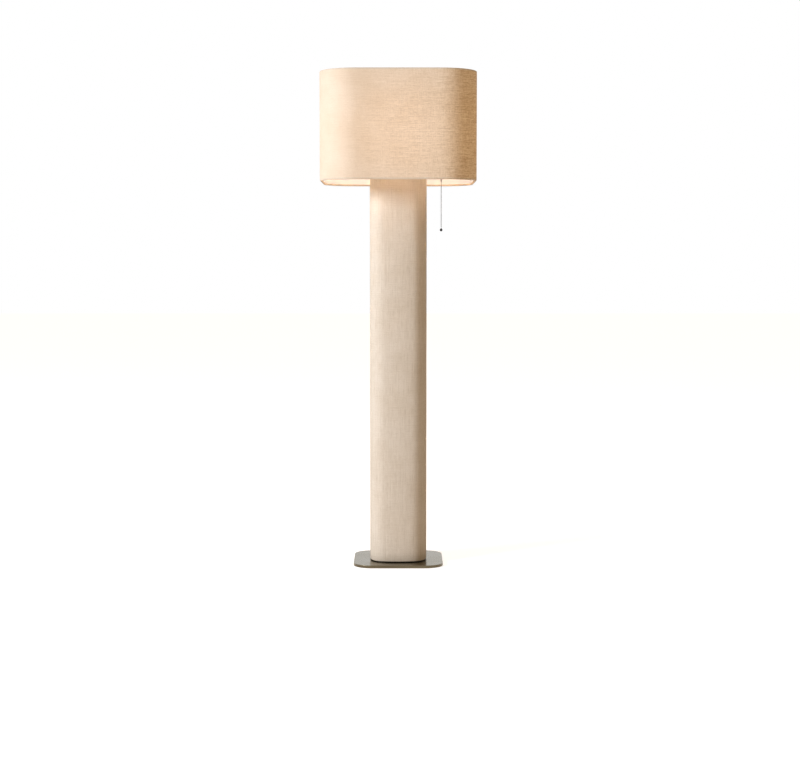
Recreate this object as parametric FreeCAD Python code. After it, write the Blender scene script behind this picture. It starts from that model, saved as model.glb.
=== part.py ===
import FreeCAD
import Part
import math
import os

# Column floor lamp: a metal plate stands on the floor, an upholstered square column rises from it,
# and a square linen drum shade with round corners hangs on a harp above the column.
# Sizes are in millimetres. +Z is up, the front is -Y, and the origin is the centre of the underside.

# ---- whole lamp -------------------------------------------------------------------------------------
lamp_height = 1800.0          # floor to the top edge of the shade
slip = 0.1                    # gap between a piece and the hole that it is pushed into
run_gap = 0.3                 # gap between pieces that move past each other

# ---- floor mat and base plate -----------------------------------------------------------------------
mat_thickness = 2.0
mat_inset = 10.0              # the mat stays hidden under the plate
base_width = 330.0
base_corner = 68.0
base_thickness = 10.0
base_edge = 1.2               # rounded upper rim
bolt_spread = 120.0           # between neighbouring column bolts
bolt_diameter = 6.0
bolt_length = 25.0
bolt_head = 10.5
bolt_head_height = 3.3
bolt_head_sink = 4.6          # depth of the counterbore in the plate
bolt_hole_gap = 0.3

# ---- upholstered column -----------------------------------------------------------------------------
column_width = 210.0          # outside of the linen
column_corner = 64.0
column_overlap = 50.0         # how far the column reaches up into the shade
linen_thickness = 1.0
padding_thickness = 4.0
core_wall = 6.0               # bent plywood
column_edge = 4.0             # rounding where the linen turns in, top and bottom
reveal = 3.0                  # shadow gap between plate and linen
reveal_inset = 14.0
board_thickness = 18.0
seam_width = 7.0
seam_height = 0.8
insert_diameter = 9.0
insert_length = 14.0
board_screw_diameter = 3.5
board_screw_head = 7.0
board_screw_length = 22.0
board_screw_cone = 2.4        # height of the countersunk head
cap_thickness = 2.0
cap_inset = 0.6
cap_edge = 0.8

# ---- cord outlet at the back of the column ----------------------------------------------------------
outlet_bend_gap = 2.5         # from the flange to the start of the column's corner bend
outlet_height = 52.0
outlet_bore = 7.2             # takes a 7 mm mains cord
grommet_barrel = 12.0
grommet_flange = 19.0
grommet_flange_thickness = 2.6
grommet_tail = 7.0            # barrel inside the core
grommet_nut_flats = 17.0
grommet_nut_thickness = 4.0

# ---- wiring inside the column -----------------------------------------------------------------------
block_length = 30.0
block_depth = 18.0
block_height = 14.0
block_across = 22.0           # centre of the terminal block on the foot board
block_back = 30.0
terminal_count = 3
terminal_pitch = 9.0
terminal_screw = 4.0
terminal_sink = 5.0
flex_diameter = 6.0
flex_wall_gap = 4.0           # from the core to the riser flex
flex_turn_in = 112.0          # below the column top, where the riser leaves the wall
flex_rise = 56.0              # height it gains on the way to the middle
clip_count = 4
clip_height = 8.0
clip_end = 90.0               # from the ends of the riser to the nearest clip
clip_lug = 3.0                # wall of a clip round the flex
lead_diameter = 4.4           # lead from the lampholder to the switch
lead_clip_lug = 1.4
lead_clip_width = 6.0
lead_out = 34.0               # from the lamp's middle to the lead's first bend
lead_run_in = 24.0            # across each of its slopes
lead_start_in = 7.5           # lead inside the lampholder

# ---- threaded tube, switch arm and harp saddle ------------------------------------------------------
tube_diameter = 10.0
tube_bore = 8.0
tube_tail = 3.0               # thread left showing under the lower nut
washer_diameter = 24.0
washer_thickness = 1.5
nut_flats = 17.0
nut_thickness = 4.5
arm_thickness = 2.5
arm_width = 22.0
arm_reach = 158.6             # lamp centre to the pull chain
arm_screw_from = 28.0
arm_screw_to = 70.0
arm_screw_diameter = 3.5
arm_screw_head = 7.0
arm_screw_head_height = 2.2
arm_screw_length = 14.0
saddle_thickness = 2.0
saddle_width = 16.0
saddle_span = 66.0            # over the two uprights
saddle_height = 22.0
saddle_bend = 5.0
saddle_tip_width = 5.0
saddle_shoulder = 10.0        # height of the step that the locking sleeves stand on

# ---- lampholder and bulb ----------------------------------------------------------------------------
holder_radius = 20.5
holder_cap_height = 18.0
holder_boss_radius = 8.0
holder_boss_height = 8.0
holder_metal = 1.2
holder_shell_metal = 0.8
holder_shell_height = 44.0
holder_seat = 5.0             # overlap of shell and cap
holder_floor = 16.0           # solid lower part of the insulator
screw_metal = 0.4
thread_gap = 0.4              # between the bulb's cap and the holder's screw shell
screw_height = 26.0
bulb_cap_height = 21.7
bulb_cap_radius = 13.1        # over the thread
bulb_radius = 30.0
bulb_wall = 1.2
bulb_tip_radius = 5.0
bulb_tip_height = 1.4
bulb_insulator_height = 3.6
bulb_collar_height = 42.0
bulb_dome_below = 11.0        # dome below its widest point
contact_lift = 3.6            # spring tongue above the insulator's floor
contact_width = 6.0
contact_metal = 0.6

# ---- harp, stud and finial --------------------------------------------------------------------------
harp_wire = 4.2
harp_width = 132.0            # between wire centres
harp_flare = 58.0             # height of the outward sweep
harp_top_bend = 56.0
harp_flare_bend = 40.0
harp_leg_lift = 2.0           # leg end above the saddle's shoulder
sleeve_wall = 1.3
sleeve_height = 14.0
sleeve_travel = 14.0
harp_straight = sleeve_height + sleeve_travel + 10.0    # leg below the outward sweep
stud_boss_radius = 6.5
stud_boss_height = 6.5
stud_radius = 3.175
stud_height = 13.0
stud_fit = 0.07               # radial running gap in the spider's washer
finial_height = 22.0
finial_base_radius = 7.0
finial_base_height = 2.4
finial_neck_radius = 3.9
finial_ball_radius = 8.0

# ---- shade ------------------------------------------------------------------------------------------
shade_width = 565.0
shade_corner = 135.0
shade_height = 390.0
shade_linen = 0.8
shade_liner = 0.6
ring_wire = 4.0
roll_faces = 6                # faces round each rolled hem
ring_faces = 8                # faces round each ring wire
hem_return = 6.0              # linen turned down inside the ring
lap_width = 12.0
lap_height = 0.4
spider_wire = 4.0
spider_drop = 20.0
spider_washer_radius = 17.0
spider_washer_thickness = 2.0
spider_arm_start = 9.6
spider_weld = 0.5             # depth that the arms are melted into the washer
spider_rise_from = 34.0       # from the ring, where an arm starts to climb
spider_rise_to = 10.0
spider_bend = 18.0
spider_arm_count = 4

# ---- pull switch and chain --------------------------------------------------------------------------
switch_back = 21.0            # housing, from the chain towards the column
switch_front = 9.0
switch_depth = 18.0
switch_height = 28.0
switch_wall = 1.5
switch_cover = 3.0
switch_edge = 1.2
rivet_diameter = 2.4
rivet_head = 4.0
rivet_head_height = 0.8
rivet_inset = 2.6
bushing_diameter = 10.0
bushing_bore = 5.0
bushing_flange = 14.0
bushing_flange_thickness = 1.5
bushing_length = 16.0
ring_nut_diameter = 17.0
ring_nut_thickness = 4.0
ring_nut_notches = 20
bell_length = 13.0
bell_radius = 6.3
bell_flare = 3.0              # height and depth of the flared mouth
wheel_pitch_radius = 6.0
wheel_rim = 1.3               # flange outside the chain's centre line
wheel_width = 5.4
wheel_lift = 12.0             # axle above the housing's floor
axle_diameter = 3.0
axle_fit = 0.05
cam_width = 2.0
cam_gap = 0.5                 # from the wheel
cam_radius = 5.6
cam_tooth = 1.1
cam_teeth = 8
blade_thickness = 0.5
blade_gap = 0.6
pull_travel = 9.0
bead_diameter = 3.2
bead_pitch = 4.15
link_diameter = 0.9
joint_gap = 0.25              # from the pivot bead to the links beside it
pivot_drop = 1.0              # pivot bead below the bell's mouth
chain_drop = 207.0            # pivot bead to the middle of the ball
ball_diameter = 10.0
ball_neck = 3.4
ball_neck_height = 2.0
wheel_beads = 3
coupling_bead = 6             # chain bead that the coupling is closed on
coupling_wall = 0.6
coupling_length = 8.0

# ---- heights and places worked out from the sizes above ---------------------------------------------
base_bottom = mat_thickness
outlet_across = column_width / 2 - column_corner - grommet_flange / 2 - outlet_bend_gap
base_top = base_bottom + base_thickness
column_bottom = base_top + reveal
shade_top = lamp_height
shade_bottom = shade_top - shade_height
column_top = shade_bottom + column_overlap
column_wall = linen_thickness + padding_thickness + core_wall
core_width = column_width - 2 * (linen_thickness + padding_thickness)
core_corner = column_corner - linen_thickness - padding_thickness
board_width = column_width - 2 * column_wall
board_corner = column_corner - column_wall
foot_board_top = column_bottom + board_thickness
top_board_bottom = column_top - board_thickness
cap_top = column_top + cap_thickness
arm_top = cap_top + arm_thickness
saddle_top = arm_top + saddle_thickness
holder_bottom = saddle_top + nut_thickness
holder_core_bottom = holder_bottom + holder_cap_height - holder_seat
holder_core_floor = holder_core_bottom + holder_floor
screw_bottom = holder_core_floor
screw_radius = bulb_cap_radius + thread_gap + screw_metal
bulb_tip_bottom = holder_core_floor + contact_lift
bulb_cap_bottom = bulb_tip_bottom + bulb_tip_height + bulb_insulator_height
bulb_cap_top = bulb_cap_bottom + bulb_cap_height
bulb_collar_top = bulb_cap_top + bulb_collar_height
bulb_middle = bulb_collar_top + bulb_dome_below
ring_inset = shade_linen + shade_liner + ring_wire / 2
hem_radius = (2 * shade_linen + shade_liner + ring_wire) / 2
top_ring_height = shade_top - hem_radius
bottom_ring_height = shade_bottom + hem_radius
spider_height = top_ring_height - spider_drop
washer_top = spider_height - spider_wire / 2 + spider_weld
washer_bottom = washer_top - spider_washer_thickness
harp_top = washer_bottom - stud_boss_height / 2
shoulder_height = saddle_top - saddle_thickness + saddle_shoulder
leg_across = saddle_span / 2 + slip + harp_wire / 2
switch_floor = arm_top + switch_wall
wheel_across = arm_reach - wheel_pitch_radius
wheel_height = switch_floor + wheel_lift
bell_top = arm_top - arm_thickness - ring_nut_thickness - slip
bell_bottom = bell_top - bell_length
bushing_top = switch_floor + bushing_flange_thickness
bushing_bottom = switch_floor - bushing_length
pivot_height = bell_bottom - pivot_drop
head_beads = int((wheel_height - pivot_height) // bead_pitch)
lead_height = holder_bottom + holder_cap_height * 0.55
lead_low = arm_top + arm_screw_head_height + lead_diameter / 2 + 0.4
lead_end_height = arm_top + switch_height * 0.4

UP = FreeCAD.Vector(0, 0, 1)


def at(x, y, z):
    return FreeCAD.Vector(x, y, z)


class Outline:
    """A closed outline drawn in the XZ plane from lines and arcs, as (across, up) points."""

    def __init__(self, across, up):
        self.first = self.here = at(across, 0, up)
        self.edges = []

    def line(self, across, up):
        end = at(across, 0, up)
        self.edges.append(Part.LineSegment(self.here, end).toShape())
        self.here = end
        return self

    def arc(self, middle, end):
        points = [at(across, 0, up) for across, up in (middle, end)]
        self.edges.append(Part.Arc(self.here, points[0], points[1]).toShape())
        self.here = points[1]
        return self

    def quarter(self, centre, end):
        """A quarter of a circle about centre, from the last point to end."""
        start = (self.here.x - centre[0], self.here.z - centre[1])
        stop = (end[0] - centre[0], end[1] - centre[1])
        middle = [centre[i] + (start[i] + stop[i]) * math.sqrt(0.5) for i in (0, 1)]
        return self.arc(middle, end)

    def roll(self, centre, radius, start, end):
        """Half a turn about centre in a few straight faces, from start to end in degrees."""
        for i in range(1, roll_faces + 1):
            angle = math.radians(start + (end - start) * i / roll_faces)
            self.line(centre[0] + radius * math.cos(angle), centre[1] + radius * math.sin(angle))
        return self

    def face(self):
        if self.here.distanceToPoint(self.first) > 1e-6:
            self.edges.append(Part.LineSegment(self.here, self.first).toShape())
        return Part.Face(Part.Wire(self.edges))

    def turned(self, x=0.0):
        """The outline turned about the upright axis through (x, 0)."""
        return self.face().revolve(at(x, 0, 0), UP, 360)


def fused(pieces):
    whole = pieces[0] if len(pieces) == 1 else pieces[0].fuse(pieces[1:])
    return whole.removeSplitter()


def cylinder(radius, x, y, bottom, top):
    return Part.makeCylinder(radius, top - bottom, at(x, y, bottom))


def cylinder_y(radius, x, z, front, back):
    return Part.makeCylinder(radius, back - front, at(x, front, z), at(0, 1, 0))


def block(x0, x1, y0, y1, z0, z1):
    return Part.makeBox(x1 - x0, y1 - y0, z1 - z0, at(x0, y0, z0))


def edges_at(shape, height):
    """The edges that lie flat at one height."""
    boxes = [(e, e.BoundBox) for e in shape.Edges]
    return [e for e, box in boxes if abs(box.ZMin - height) < 1e-4 and abs(box.ZMax - height) < 1e-4]


def upright_edges(shape):
    return [e for e in shape.Edges if e.BoundBox.XLength < 1e-4 and e.BoundBox.YLength < 1e-4]


def square_face(width, corner, z):
    """A square with round corners, centred on the lamp."""
    half, mid = width / 2, width / 2 - corner
    reach = mid + corner * math.sqrt(0.5)
    edges = []
    for turn in range(4):
        side = Part.LineSegment(at(half, -mid, z), at(half, mid, z)).toShape()
        bend = Part.Arc(at(half, mid, z), at(reach, reach, z), at(mid, half, z)).toShape()
        for edge in (side, bend):
            edge.rotate(at(0, 0, 0), UP, 90 * turn)
            edges.append(edge)
    return Part.Face(Part.Wire(Part.__sortEdges__(edges)))


def square_plate(width, corner, bottom, top):
    return square_face(width, corner, bottom).extrude(at(0, 0, top - bottom))


def square_tube(width, corner, wall, bottom, top):
    inner = square_plate(width - 2 * wall, corner - wall, bottom, top)
    return square_plate(width, corner, bottom, top).cut(inner)


def carried_round(face, width, corner):
    """A section in the XZ plane carried round a square with round corners, as one solid."""
    mid = width / 2 - corner
    pieces = []
    for turn in range(4):
        side = face.copy()
        side.translate(at(0, -mid, 0))
        run = side.extrude(at(0, 2 * mid, 0))
        side.translate(at(0, 2 * mid, 0))
        bend = side.revolve(at(mid, mid, 0), UP, 90)
        for piece in (run, bend):
            piece.rotate(at(0, 0, 0), UP, 90 * turn)
            pieces.append(piece)
    return fused(pieces)


def wire_path(points, bends):
    """Straight runs joined by tangent arcs, with one bend radius for each inner point."""
    edges = []
    here = points[0]
    for before, corner, after, bend in zip(points, points[1:], points[2:], bends):
        into = (corner - before).normalize()
        out = (after - corner).normalize()
        turn = into.getAngle(out)
        reach = bend * math.tan(turn / 2)
        start, end = corner - into * reach, corner + out * reach
        inward = (out - into).normalize()
        middle = corner + inward * (bend / math.cos(turn / 2) - bend)
        edges.append(Part.LineSegment(here, start).toShape())
        edges.append(Part.Arc(start, middle, end).toShape())
        here = end
    edges.append(Part.LineSegment(here, points[-1]).toShape())
    return Part.Wire(edges)


def rod(name, points, bends, diameter):
    """A round wire or flex along a path; its volume is compared with its section times its length."""
    path = wire_path(points, bends)
    along = (points[1] - points[0]).normalize()
    section = Part.Wire([Part.makeCircle(diameter / 2, points[0], along)])
    solid = path.makePipeShell([section], True, False)
    expected = math.pi * diameter ** 2 / 4 * path.Length
    print(f"{name}: length {path.Length:.1f}, volume share {solid.Volume / expected:.4f}")
    return solid


def hexagon(flats, x, y, bottom, top, turn=0.0):
    radius = flats / 2 / math.cos(math.pi / 6)
    corners = [at(x + radius * math.cos(math.radians(60 * i + turn)),
                  y + radius * math.sin(math.radians(60 * i + turn)), bottom) for i in range(7)]
    return Part.Face(Part.makePolygon(corners)).extrude(at(0, 0, top - bottom))


# ---- base -------------------------------------------------------------------------------------------
def bolt_places():
    half = bolt_spread / 2
    return [(x, y) for x in (-half, half) for y in (-half, half)]


def floor_mat():
    mat = square_plate(base_width - 2 * mat_inset, base_corner - mat_inset, 0, base_bottom)
    for x, y in bolt_places():
        mat = mat.cut(cylinder(bolt_head / 2 + 3 * bolt_hole_gap, x, y, 0, base_bottom))
    return mat


def base_plate():
    plate = square_plate(base_width, base_corner, base_bottom, base_top)
    plate = plate.makeFillet(base_edge, edges_at(plate, base_top))
    plate = plate.makeChamfer(base_edge / 3, edges_at(plate, base_bottom))
    for x, y in bolt_places():
        plate = plate.cut(cylinder(bolt_diameter / 2 + bolt_hole_gap, x, y, base_bottom, base_top))
        plate = plate.cut(cylinder(bolt_head / 2 + 2 * bolt_hole_gap, x, y,
                                   base_bottom, base_bottom + bolt_head_sink))
    return plate


def base_bolts():
    """Socket-head bolts from below, sunk in the plate."""
    seat = base_bottom + bolt_head_sink
    bolts = []
    for x, y in bolt_places():
        head = cylinder(bolt_head / 2, x, y, seat - bolt_head_height, seat)
        head = head.makeFillet(bolt_head_height / 3, edges_at(head, seat - bolt_head_height))
        shank = cylinder(bolt_diameter / 2, x, y, seat, seat + bolt_length)
        key = hexagon(bolt_diameter * 2 / 3, x, y, seat - bolt_head_height, seat - bolt_head_height / 3)
        bolts.append(fused([head, shank]).cut(key))
    return bolts


def foot_plate():
    width, corner = column_width - 2 * reveal_inset, column_corner - reveal_inset
    plate = square_plate(width, corner, base_top, column_bottom)
    for x, y in bolt_places():
        plate = plate.cut(cylinder(bolt_diameter / 2 + bolt_hole_gap, x, y, base_top, column_bottom))
    return plate


# ---- column -----------------------------------------------------------------------------------------
def board_screws():
    """Countersunk screws through the core into the middle of each side of both boards."""
    face = core_width / 2
    screws = []
    for height in (column_bottom + board_thickness / 2, column_top - board_thickness / 2):
        cone = Part.makeCone(board_screw_diameter / 2, board_screw_head / 2, board_screw_cone,
                             at(face - board_screw_cone, 0, height), at(1, 0, 0))
        shank = Part.makeCylinder(board_screw_diameter / 2, board_screw_length - board_screw_cone,
                                  at(face - board_screw_length, 0, height), at(1, 0, 0))
        screw = fused([cone, shank])
        for turn in range(4):
            copy = screw.copy()
            copy.rotate(at(0, 0, 0), UP, 90 * turn)
            screws.append(copy)
    return screws


def cut_all(shape, tools):
    for tool in tools:
        shape = shape.cut(tool)
    return shape


def foot_inserts():
    low, high = foot_board_top - insert_length, foot_board_top
    inserts = []
    for x, y in bolt_places():
        body = cylinder(insert_diameter / 2, x, y, low, high)
        inserts.append(body.cut(cylinder(bolt_diameter / 2, x, y, low, high)))
    return inserts


def foot_board():
    low, high = column_bottom, foot_board_top
    board = square_plate(board_width, board_corner, low, high)
    for x, y in bolt_places():
        board = board.cut(cylinder(bolt_diameter / 2 + bolt_hole_gap, x, y, low, high))
        board = board.cut(cylinder(insert_diameter / 2, x, y, high - insert_length, high))
    return cut_all(board, board_screws() + terminal_screws())


def tube_hole(bottom, top):
    return cylinder(tube_diameter / 2 + slip, 0, 0, bottom, top)


def top_board():
    board = square_plate(board_width, board_corner, top_board_bottom, column_top)
    board = board.cut(tube_hole(top_board_bottom, column_top))
    return cut_all(board, board_screws() + arm_screws())


def outlet_hole(radius):
    """The way through the back wall of the column for the cord grommet."""
    back = column_width / 2
    return cylinder_y(radius, outlet_across, outlet_height, back - column_wall - 1, back + seam_height + 1)


def column_core():
    core = square_tube(core_width, core_corner, core_wall,
                       column_bottom + linen_thickness, column_top - linen_thickness)
    core = core.cut(outlet_hole(grommet_barrel / 2 + slip))
    return cut_all(core, board_screws())


def column_padding():
    """Wadding over the core, rounded where the linen turns in."""
    half = column_width / 2
    low, high = column_bottom + linen_thickness, column_top - linen_thickness
    inner, outer = half - linen_thickness - padding_thickness, half - linen_thickness
    bend = column_edge - linen_thickness
    turn = outer - bend
    section = Outline(inner, low).line(turn, low).quarter((turn, low + bend), (outer, low + bend))
    section.line(outer, high - bend).quarter((turn, high - bend), (turn, high)).line(inner, high)
    padding = carried_round(section.face(), column_width, column_corner)
    return padding.cut(outlet_hole(grommet_barrel / 2 + slip))


def column_linen():
    """The sewn cover: a sleeve whose two ends are turned in under the core, with a seam down the back."""
    half = column_width / 2
    low, high = column_bottom, column_top
    bend, cloth, inner = column_edge, linen_thickness, half - column_wall
    turn = half - bend
    section = Outline(inner, low).line(turn, low).quarter((turn, low + bend), (half, low + bend))
    section.line(half, high - bend).quarter((turn, high - bend), (turn, high)).line(inner, high)
    section.line(inner, high - cloth).line(turn, high - cloth)
    section.quarter((turn, high - bend), (half - cloth, high - bend)).line(half - cloth, low + bend)
    section.quarter((turn, low + bend), (turn, low + cloth)).line(inner, low + cloth)
    linen = carried_round(section.face(), column_width, column_corner)
    side = seam_width / 2
    seam = block(-side, side, half - cloth / 2, half + seam_height, low + bend, high - bend)
    ridge = [e for e in upright_edges(seam) if e.BoundBox.YMin > half]
    seam = seam.makeFillet(seam_height * 0.9, ridge)
    return linen.fuse(seam).removeSplitter().cut(outlet_hole(grommet_barrel / 2 + slip))


def column_cap():
    cap = square_plate(column_width - 2 * cap_inset, column_corner - cap_inset, column_top, cap_top)
    cap = cap.makeFillet(cap_edge, edges_at(cap, cap_top)).cut(tube_hole(column_top, cap_top))
    return cut_all(cap, arm_screws())


# ---- cord outlet and wiring -------------------------------------------------------------------------
def cord_grommet():
    """A flanged bushing: its flange lies on the linen and its barrel passes through the wall."""
    x, z = outlet_across, outlet_height
    back = column_width / 2
    inside, outside = back - column_wall - grommet_tail, back + grommet_flange_thickness
    flange = cylinder_y(grommet_flange / 2, x, z, back, outside)
    rim = [e for e in flange.Edges if e.BoundBox.YMin > outside - 1e-4]
    flange = flange.makeFillet(grommet_flange_thickness * 0.5, rim)
    barrel = cylinder_y(grommet_barrel / 2, x, z, inside, back)
    return fused([flange, barrel]).cut(cylinder_y(outlet_bore / 2, x, z, inside, outside))


def grommet_nut():
    wall = column_width / 2 - column_wall
    nut = hexagon(grommet_nut_flats, 0, 0, 0, grommet_nut_thickness)
    nut = nut.cut(cylinder(grommet_barrel / 2, 0, 0, 0, grommet_nut_thickness))
    nut.rotate(at(0, 0, 0), at(1, 0, 0), 90)
    nut.translate(at(outlet_across, wall, outlet_height))
    return nut


def terminal_places():
    middle = (terminal_count - 1) / 2
    return [block_across + (i - middle) * terminal_pitch for i in range(terminal_count)]


def terminal_block():
    top = foot_board_top + block_height
    sink = block_back - block_depth / 4
    body = block(block_across - block_length / 2, block_across + block_length / 2,
                 block_back - block_depth / 2, block_back + block_depth / 2, foot_board_top, top)
    body = body.makeFillet(1.5, upright_edges(body))
    for x in terminal_places():
        body = body.cut(cylinder(terminal_screw / 2 + slip, x, sink, top - terminal_sink, top))
        body = body.cut(cylinder_y(1.6, x, foot_board_top + block_height / 2,
                                   block_back + block_depth / 4, block_back + block_depth / 2))
    return cut_all(body, terminal_screws())


def terminal_screws():
    """Wire-clamping screws in the block's sinks, and two longer screws that hold it to the foot board."""
    top = foot_board_top + block_height
    row = block_back + block_depth / 4
    screws = []
    for x in terminal_places():
        screw = cylinder(terminal_screw / 2, x, block_back - block_depth / 4, top - terminal_sink, top - 1)
        slot = block(x - 0.4, x + 0.4, block_back - block_depth, block_back, top - 1.8, top)
        screws.append(screw.cut(slot))
    for x in (terminal_places()[0] + terminal_pitch / 2, terminal_places()[-1] - terminal_pitch / 2):
        head = cylinder(1.9, x, row, top - 2, top)
        screws.append(fused([head, cylinder(1.2, x, row, foot_board_top - 8, top - 2)]))
    return screws


def flex_line():
    return -(board_width / 2 - flex_wall_gap - flex_diameter / 2)


def inner_flex():
    """The flex from the terminal block, up the wall of the core and through the threaded tube."""
    wall = flex_line()
    low = foot_board_top + block_height / 2
    leave = column_top - flex_turn_in
    points = [at(block_across - block_length / 2, block_back, low), at(wall, block_back, low),
              at(wall, block_back, leave), at(0, 0, leave + flex_rise), at(0, 0, holder_core_bottom)]
    return rod("inner_flex", points, (36.0, 46.0, 40.0), flex_diameter)


def flex_clips():
    """Saddle clips on the core's inner wall, for the riser flex."""
    wall = -board_width / 2
    line = flex_line()
    low, high = foot_board_top + clip_end, column_top - flex_turn_in - clip_end
    clips = []
    for i in range(clip_count):
        z = low + (high - low) * i / (clip_count - 1)
        reach = flex_diameter / 2 + clip_lug
        clip = block(wall, line, block_back - reach, block_back + reach, z, z + clip_height)
        nose = cylinder(reach, line, block_back, z, z + clip_height)
        hole = cylinder(flex_diameter / 2 + slip, line, block_back, z, z + clip_height)
        clips.append(fused([clip, nose]).cut(hole))
    return clips


# ---- threaded tube, arm and saddle ------------------------------------------------------------------
def lamp_tube():
    bottom = top_board_bottom - washer_thickness - nut_thickness - tube_tail
    top = holder_bottom + holder_boss_height
    tube = cylinder(tube_diameter / 2, 0, 0, bottom, top)
    return tube.cut(cylinder(tube_bore / 2, 0, 0, bottom, top))


def tube_nut(bottom):
    nut = hexagon(nut_flats, 0, 0, bottom, bottom + nut_thickness)
    return nut.cut(cylinder(tube_diameter / 2, 0, 0, bottom, bottom + nut_thickness))


def tube_nuts():
    return [tube_nut(top_board_bottom - washer_thickness - nut_thickness), tube_nut(saddle_top)]


def tube_washer():
    washer = cylinder(washer_diameter / 2, 0, 0, top_board_bottom - washer_thickness, top_board_bottom)
    return washer.cut(tube_hole(top_board_bottom - washer_thickness, top_board_bottom))


def switch_arm():
    """A flat steel strip clamped under the saddle, which carries the switch clear of the column."""
    half = arm_width / 2
    strip = block(0, arm_reach, -half, half, cap_top, arm_top)
    ends = [cylinder(half, x, 0, cap_top, arm_top) for x in (0, arm_reach)]
    arm = fused([strip] + ends).cut(tube_hole(cap_top, arm_top))
    arm = arm.cut(cylinder(bushing_diameter / 2 + slip, arm_reach, 0, cap_top, arm_top))
    return cut_all(arm, arm_screws())


def arm_screws():
    screws = []
    for x in (arm_screw_from, arm_screw_to):
        head = cylinder(arm_screw_head / 2, x, 0, arm_top, arm_top + arm_screw_head_height)
        head = head.makeFillet(arm_screw_head_height * 0.6, edges_at(head, arm_top + arm_screw_head_height))
        shank = cylinder(arm_screw_diameter / 2, x, 0, arm_top - arm_screw_length, arm_top)
        screws.append(fused([head, shank]))
    return screws


def harp_saddle():
    """A U bent from strip, with a hole for the tube and a narrow tip on each upright."""
    half, top = saddle_span / 2, arm_top + saddle_height
    outer = block(-saddle_width / 2, saddle_width / 2, -half, half, arm_top, top)
    outer = outer.makeFillet(saddle_bend, [e for e in edges_at(outer, arm_top) if e.BoundBox.YLength < 1e-4])
    inner_half = half - saddle_thickness
    inner = block(-saddle_width / 2, saddle_width / 2, -inner_half, inner_half, saddle_top, top)
    inner = inner.makeFillet(saddle_bend - saddle_thickness,
                             [e for e in edges_at(inner, saddle_top) if e.BoundBox.YLength < 1e-4])
    saddle = outer.cut(inner).cut(tube_hole(arm_top, saddle_top))
    for side in (-1, 1):
        edge, tip = side * saddle_width / 2, side * saddle_tip_width / 2
        waste = block(min(edge, tip), max(edge, tip), -half, half, shoulder_height, top)
        saddle = saddle.cut(waste)
    return saddle


# ---- lampholder -------------------------------------------------------------------------------------
def lampholder_cap():
    """The lower cup, screwed onto the threaded tube."""
    low, high = holder_bottom, holder_bottom + holder_cap_height
    out, metal, boss = holder_radius, holder_metal, holder_boss_radius
    waist = low + holder_cap_height * 0.6
    rise = waist - low
    cup = Outline(tube_diameter / 2, low).line(out - rise, low).quarter((out - rise, waist), (out, waist))
    cup.line(out, high).line(out - metal, high).line(out - metal, waist)
    cup.quarter((out - rise, waist), (out - rise, low + metal)).line(boss, low + metal)
    cup.line(boss, low + holder_boss_height).line(tube_diameter / 2, low + holder_boss_height)
    entry = Part.makeCylinder(lead_diameter / 2 + slip, holder_radius, at(boss, 0, lead_height), at(1, 0, 0))
    return cup.turned().cut(entry)


def lampholder_shell():
    """The plated outer sleeve, with a rolled rim."""
    out = holder_radius - holder_metal - slip
    metal, low = holder_shell_metal, holder_core_bottom
    top = low + holder_shell_height
    sleeve = Outline(out - metal, low).line(out, low).line(out, top - 2 * metal)
    sleeve.arc((out + metal, top - metal), (out, top)).line(out - metal, top)
    return sleeve.turned()


def lampholder_core():
    """The moulded insulator: solid below, with a well for the screw shell."""
    out = holder_radius - holder_metal - holder_shell_metal - 2 * slip
    well = screw_radius + slip
    top = holder_core_bottom + holder_shell_height - 1
    body = cylinder(out, 0, 0, holder_core_bottom, top)
    return body.cut(cylinder(well, 0, 0, holder_core_floor, top))


def screw_shell():
    """The brass shell that the bulb's cap turns in; it stands on the insulator's floor."""
    tube = cylinder(screw_radius, 0, 0, screw_bottom, screw_bottom + screw_height)
    return tube.cut(cylinder(screw_radius - screw_metal, 0, 0, screw_bottom, screw_bottom + screw_height))


def centre_contact():
    """A bent spring tongue on the insulator's floor that presses on the bulb's tip."""
    low, lift, metal = holder_core_floor, contact_lift - run_gap, contact_metal
    strip = Outline(-9, low).line(2.6, low).line(7.6, low + lift).line(-3, low + lift)
    strip.line(-3, low + lift - metal).line(6, low + lift - metal).line(2, low + metal).line(-9, low + metal)
    tongue = strip.face().extrude(at(0, contact_width, 0))
    tongue.translate(at(0, -contact_width / 2, 0))
    return tongue


# ---- bulb -------------------------------------------------------------------------------------------
def bulb_tip():
    low, radius = bulb_tip_bottom, bulb_tip_radius
    tip = Outline(0, low).line(radius * 0.6, low).line(radius, low + bulb_tip_height * 0.6)
    return tip.line(radius, low + bulb_tip_height).line(0, low + bulb_tip_height).turned()


def bulb_insulator():
    """The dark glass cone between the tip and the screw cap."""
    low, high = bulb_tip_bottom + bulb_tip_height, bulb_cap_bottom
    rim = bulb_cap_radius - 2 * slip
    return Outline(0, low).line(bulb_tip_radius, low).line(rim, high).line(0, high).turned()


def bulb_cap():
    """The rolled screw cap, with its lower rim rounded in."""
    cap = cylinder(bulb_cap_radius, 0, 0, bulb_cap_bottom, bulb_cap_top)
    return cap.makeFillet(2 * slip, edges_at(cap, bulb_cap_bottom))


def dome_edge():
    return math.sqrt(bulb_radius ** 2 - bulb_dome_below ** 2)


def bulb_collar():
    """The white body between the screw cap and the dome, which swells to meet the dome."""
    low, high = bulb_cap_top, bulb_collar_top
    foot, rim = bulb_cap_radius + 1.2, dome_edge()
    collar = Outline(0, low).line(foot, low).line(foot + 0.6, low + 5)
    collar.arc((foot + (rim - foot) * 0.42, low + (high - low) * 0.52), (rim, high))
    return collar.line(0, high).turned()


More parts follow.
